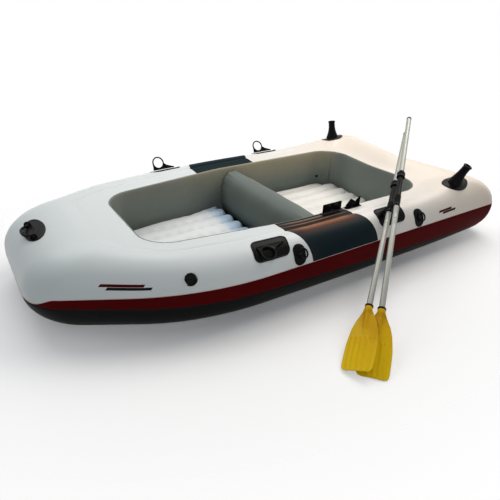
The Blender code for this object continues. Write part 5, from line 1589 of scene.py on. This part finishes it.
def keeper_pad(name, node, x0, x1, low):
    """A bordered pad on the deck under the keeper's plates, from x0 to x1 and lifted by low."""
    on = deck_patch(-1, (x0 + x1) / 2, LINE_Y)
    profile = [(i, low + (h - 0.0004)) for i, h in bordered(KEEPER_FOOT / 2, 0.0022, 0.0026, 5)]
    pad(name, node, on, rounded(x1 - x0, KEEPER_FOOT - 0.001, 0.010),
        [p for p in profile if p[0] < 0.0149])


keeper_pad("keeper_base", "keeper_patch", KEEPER_X0 - 0.008, KEEPER_X1 + 0.008, 0.0016)
keeper_pad("keeper_clip_base", "keeper_clip", CLIP_X0 - 0.002, CLIP_X1 + 0.004, 0.0008)
z0, z1 = strap_at[2] - KEEPER_THICK / 2, strap_at[2] + KEEPER_RISE
outline = rounded_outline([(KEEPER_X0, z0), (KEEPER_X1, z0), (KEEPER_X1, z1), (KEEPER_X0, z1)],
                          0.007)
stand_in(plate("keeper_flap", outline), "keeper_strap", "keeper_strap_body")
top = strap_at[2] - 0.006
third, rise = (CLIP_X1 - CLIP_X0) / 3, top + KEEPER_RISE
outline = rounded_outline([(CLIP_X0, top - 0.006), (CLIP_X1, top - 0.006), (CLIP_X1, rise + 0.010),
                           (CLIP_X1 - third * 0.9, rise - 0.018), (CLIP_X0 + third, rise + 0.004),
                           (CLIP_X0, rise - 0.028)], 0.006)
stand_in(plate("keeper_clip_plate", outline))
print("keeper made, strap from", round(z0, 4), "to", round(z1, 4))

# %% [markdown]
# ## The oars
# Each oar is an alloy tube in two halves with a moulded blade.  The blade is a thin plate whose
# section is a superellipse: nearly flat across the blade and a true circle at the hub.  Flutes in
# waves stiffen its lower half and end in round tips, and a cone-shaped socket runs from the hub
# into the plate.

# %% Oar dimensions
OAR_LENGTH, SPLICE, SHAFT, HUB = 1.515, 0.800, 0.024, 0.031
BLADE_LENGTH, BLADE_WIDTH, BLADE_THICK, BLADE_ARCH, FLUTE = 0.287, 0.122, 0.0052, 0.006, 0.0016
COLLAR, COLLAR_WIDTH, SLEEVE, STOP = 0.034, 0.009, 0.029, 0.040
TIP_RUN, TIP_ROUND, FLUTE_END, FLUTES, BORDER, BACK_RIDGE = 0.045, 0.062, 0.53, 6, 0.0003, 0.45
ROLLS = {"a": 20.0, "b": 0.0}


def oar_frame(tag):
    """The tip of an oar, its direction up the shaft, and the blade's two directions."""
    joint = JOINTS["oar_%s_feather" % tag]
    ahead = unit(joint["axis"])
    tip = np.array(joint["pos_m"], float) - ahead * SPLICE
    level = unit(np.cross(ahead, (0, 0, 1.0)))
    up = np.cross(level, ahead)
    turn = radians(ROLLS[tag])
    across = level * cos(turn) + up * sin(turn)
    return tip, ahead, across, np.cross(across, ahead)


def eased(points, at_values, passes=3):
    """A table of (position, value) read at positions, with its corners rounded off."""
    table = np.array(points, float)
    fine = np.linspace(table[0, 0], table[-1, 0], 400)
    value = np.interp(fine, table[:, 0], table[:, 1])
    for _ in range(passes * 12):
        value[1:-1] = (value[:-2] + 2 * value[1:-1] + value[2:]) / 4
    return np.interp(at_values, fine, value)


def blade_grid(rows=170, half_cols=110):
    """Blade sections in (across, face, along): s runs from tip to hub, x from edge to edge."""
    tip_rows = TIP_RUN * (1 - np.cos(np.linspace(0, pi / 2, 26)))
    s = np.r_[tip_rows, np.linspace(TIP_RUN, 1.0, rows - 25)[1:]]
    half = eased([(0, 0.470), (0.10, 0.488), (0.25, 0.500), (0.40, 0.494), (0.52, 0.468),
                  (0.64, 0.424), (0.76, 0.345), (0.86, 0.232), (0.93, 0.160),
                  (0.965, HUB / 2 / BLADE_WIDTH), (1.0, HUB / 2 / BLADE_WIDTH)], s) * BLADE_WIDTH
    corner = quarter(s / TIP_ROUND)
    half = half * (0.72 + 0.28 * corner)
    hub = eased([(0, 0.0), (0.89, 0.0), (0.975, 1.0), (1.0, 1.0)], s, 2)
    thin = BLADE_THICK / 2 * (0.52 + 0.30 * corner)
    power = 7.0 - 5.0 * hub
    x = np.sin(np.linspace(-pi / 2, pi / 2, half_cols)) * 0.6 + np.linspace(-1, 1, half_cols) * 0.4
    body = held(1 - np.abs(x) ** power[:, None]) ** 0.5
    edge = (thin + (HUB / 2 - thin) * hub)[:, None] * body
    socket = eased([(0, 0), (0.50, 0.0), (0.58, 0.0014), (0.72, 0.0050), (0.86, 0.0085),
                    (0.94, 0.0100), (0.99, 0.0)], s, 2) * (1 - hub * 0.75)
    width = 0.0060 + 0.0060 * held((s - 0.50) / 0.45)
    ridge = socket[:, None] * np.exp(-(np.abs(x) * half[:, None] / width[:, None]) ** 2.6)
    reach = eased([(0, 0.0), (0.02, 0.15), (0.08, 0.9), (0.16, 1.0), (0.485, 1.0), (0.53, 0.0),
                   (1, 0.0)], s, 1)
    wave = np.cos(FLUTES * pi * x)
    tips = reach[:, None] * held((FLUTE_END + 0.015 * wave - s[:, None]) / 0.03)
    flute = FLUTE * tips * signed_power(wave, 0.8) * (1 - np.abs(x) ** 8)
    bend = (0.45 + 0.55 * held(s / 0.25)) * (1 - hub)
    arch = -BLADE_ARCH * (np.minimum(1.0, half / BLADE_WIDTH * 2) * bend)[:, None] * (x * x)
    border = BORDER * bump(np.abs(x), 0.93, 0.04) * (1 - hub)[:, None]
    over = edge + ridge + flute + arch + border
    under = -edge - ridge * BACK_RIDGE + flute + arch - border * 0.5
    wide = x * half[:, None]
    along = np.broadcast_to((s * BLADE_LENGTH)[:, None], wide.shape)
    over, under = (np.stack([wide, skin_of, along], -1) for skin_of in (over, under))
    return np.concatenate([over, under[:, 1:-1][:, ::-1]], axis=1)


def round_bar(name, frame_of, profile, material, ring, steps=64):
    """A profile of (distance up the oar, radius) turned about the shaft; a ring is closed."""
    tip, ahead, across, face = frame_of
    around = round_about(steps, across, face)
    rings = np.array([tip + ahead * s + around * max(r, 1e-5) for s, r in profile])
    return (ring_mesh if ring else tube)(name, rings, material)


def ring_profile(start, end, bore, outer_points, cut=0.0008):
    """A closed profile: the outside from (share, radius) points, rounded, then the bore back."""
    outside = [(start + (end - start) * f, r) for f, r in outer_points]
    points = [(start, bore)] + outside + [(end, bore)]
    return round_over(points + [(start, bore)], cut)[:-1]


# %% Oars
def oar_parts(tag, tip, ahead):
    """An oar's round parts: piece, CAD node, profile, material, whether it is a ring, and body."""
    r, start, top, end = SHAFT / 2, BLADE_LENGTH + GAP, OAR_LENGTH - 0.012 - GAP, OAR_LENGTH

    def reach(node):
        """The least and the greatest distance of a CAD node's points up the oar."""
        along = cad_points(node + tag) @ ahead - tip @ ahead
        return float(along.min()), float(along.max())

    big = COLLAR / 2
    collar = ring_profile(start, start + COLLAR_WIDTH, r + GAP, [
        (0, big - 0.0012), (0.28, big), (0.42, big), (0.5, big - 0.0012), (0.58, big), (0.72, big),
        (1, big - 0.0012)], 0.0006)
    lower = round_over([(start, 0.0), (start, r), (SPLICE - 0.064, r),
                        (SPLICE - 0.0632, r - 0.0005), (SPLICE - 0.0618, r - 0.0005),
                        (SPLICE - 0.061, r), (SPLICE - 0.0003, r), (SPLICE, r - 0.0006),
                        (SPLICE, 0.0)], 0.0004)
    upper = round_over([(SPLICE + GAP, 0.0), (SPLICE + GAP, r - 0.0006), (SPLICE + 0.0009, r),
                        (SPLICE + 0.0085, r), (SPLICE + 0.0091, r - 0.0004),
                        (SPLICE + 0.0103, r - 0.0004), (SPLICE + 0.0109, r), (top, r), (top, 0.0)],
                       0.0004)
    big = SLEEVE / 2
    notes = [(0, big - 0.001), (0.02, big), (0.06, big), (0.075, big - 0.0011)]
    for f in (0.10 + k * 0.022 for k in range(9)):
        notes += [(f, big - 0.0011), (f + 0.004, big - 0.0002), (f + 0.014, big - 0.0002),
                  (f + 0.018, big - 0.0011)]
    notes += [(0.92, big - 0.0011), (0.935, big), (0.98, big), (1, big - 0.001)]
    sleeve = ring_profile(*reach("oar_sleeve_"), r + GAP, notes, 0.0005)
    big = STOP / 2
    stop = ring_profile(*reach("stop_ring_"), SLEEVE / 2 + GAP,
                        [(0, big - 0.0022), (0.06, big - 0.0004), (0.12, big), (0.30, big),
                         (0.36, big - 0.0016), (0.64, big - 0.0016), (0.70, big), (0.88, big),
                         (0.94, big - 0.0004), (1, big - 0.0022)], 0.0009)
    cap = round_over([(end - 0.012, 0.0), (end - 0.012, r + 0.0006), (end - 0.0045, r + 0.0006),
                      (end - 0.0026, r - 0.0002), (end - 0.0010, r - 0.0024),
                      (end - 0.0002, r - 0.0060), (end, 0.0)], 0.0006)
    return (("oar_collar_", "blade_collar_", collar, BLACK_RUBBER, True, "oar_%s_lower"),
            ("oar_tube_lower_", "shaft_lower_", lower, GREY_ALLOY, False, "oar_%s_lower"),
            ("oar_tube_upper_", "shaft_upper_", upper, GREY_ALLOY, False, "oar_%s_upper"),
            ("oar_grip_sleeve_", "oar_sleeve_", sleeve, BLACK_RUBBER, True, "oar_%s_upper"),
            ("oar_stop_", "stop_ring_", stop, BLACK_RUBBER, True, "stop_%s"),
            ("oar_cap_", "end_cap_", cap, BLACK_RUBBER, False, "oar_%s_upper"))


BUTTON = [(0.0, 0.0), (0.0034, 0.0), (0.0034, 0.0016), (0.0029, 0.0027), (0.0017, 0.0034),
          (0.0, 0.0036)]
for tag in ("a", "b"):
    here = oar_frame(tag)
    tip, ahead, across, face = here
    local = blade_grid()
    points = tip + sum(local[..., k, None] * way for k, way in enumerate((across, face, ahead)))
    stand_in(tube("oar_blade_" + tag, points, YELLOW_PLASTIC), "blade_" + tag, "oar_%s_lower" % tag)
    for word, node, profile, film, ring, body in oar_parts(tag, tip, ahead):
        stand_in(round_bar(word + tag, here, profile, film, ring), node + tag, body % tag)
    spot = tip + ahead * (SPLICE - 0.026) + face * (SHAFT / 2 - 0.0012)
    button = lathe("oar_button_" + tag, BUTTON, spot, face, GREY_ALLOY, 32)
    stand_in(button, body="oar_%s_lower" % tag)
print("oars made")

# %% [markdown]
# ## Trim
# A fine pale cord of weld runs along the top of the red strip, and two plain pairs of bars are
# printed on the side, at the bow and near the stern.

# %% Trim
BAR_HEIGHT = 0.232
PALE_TRIM = finish("pale_trim", (0.60, 0.45, 0.42), 0.45, grain=0.05, slot="white_vinyl")
piece = sweep("red_weld_line", line_path, (0, 0, 1.0), 0.0011, PALE_TRIM, closed=True, sides=10)
stand_in(piece)


def bar_print(name, on, aft, up, length, material, height=0.0105):
    """A thin printed bar on the side, with slanted ends."""
    u, v = np.meshgrid(np.linspace(-0.5, 0.5, 60), np.linspace(-0.5, 0.5, 8))
    along, over = aft + u * length + v * height * 0.6, up + v * height
    stand_in(sheet_piece(name, on(along, over, 0.0006), on(along, over, 0.0001), material))


for side, word in SIDES:
    for label, x, length in (("bow", -0.930, 0.165), ("stern", 0.752, 0.100)):
        tag, on = "%s_%s" % (label, word), patch(side, x, BAR_HEIGHT)
        bar_print("bar_red_" + tag, on, -0.012, 0.006, length, RED_VINYL)
        bar_print("bar_black_" + tag, on, 0.016, -0.006, length, BLACK_VINYL)
print("trim made")
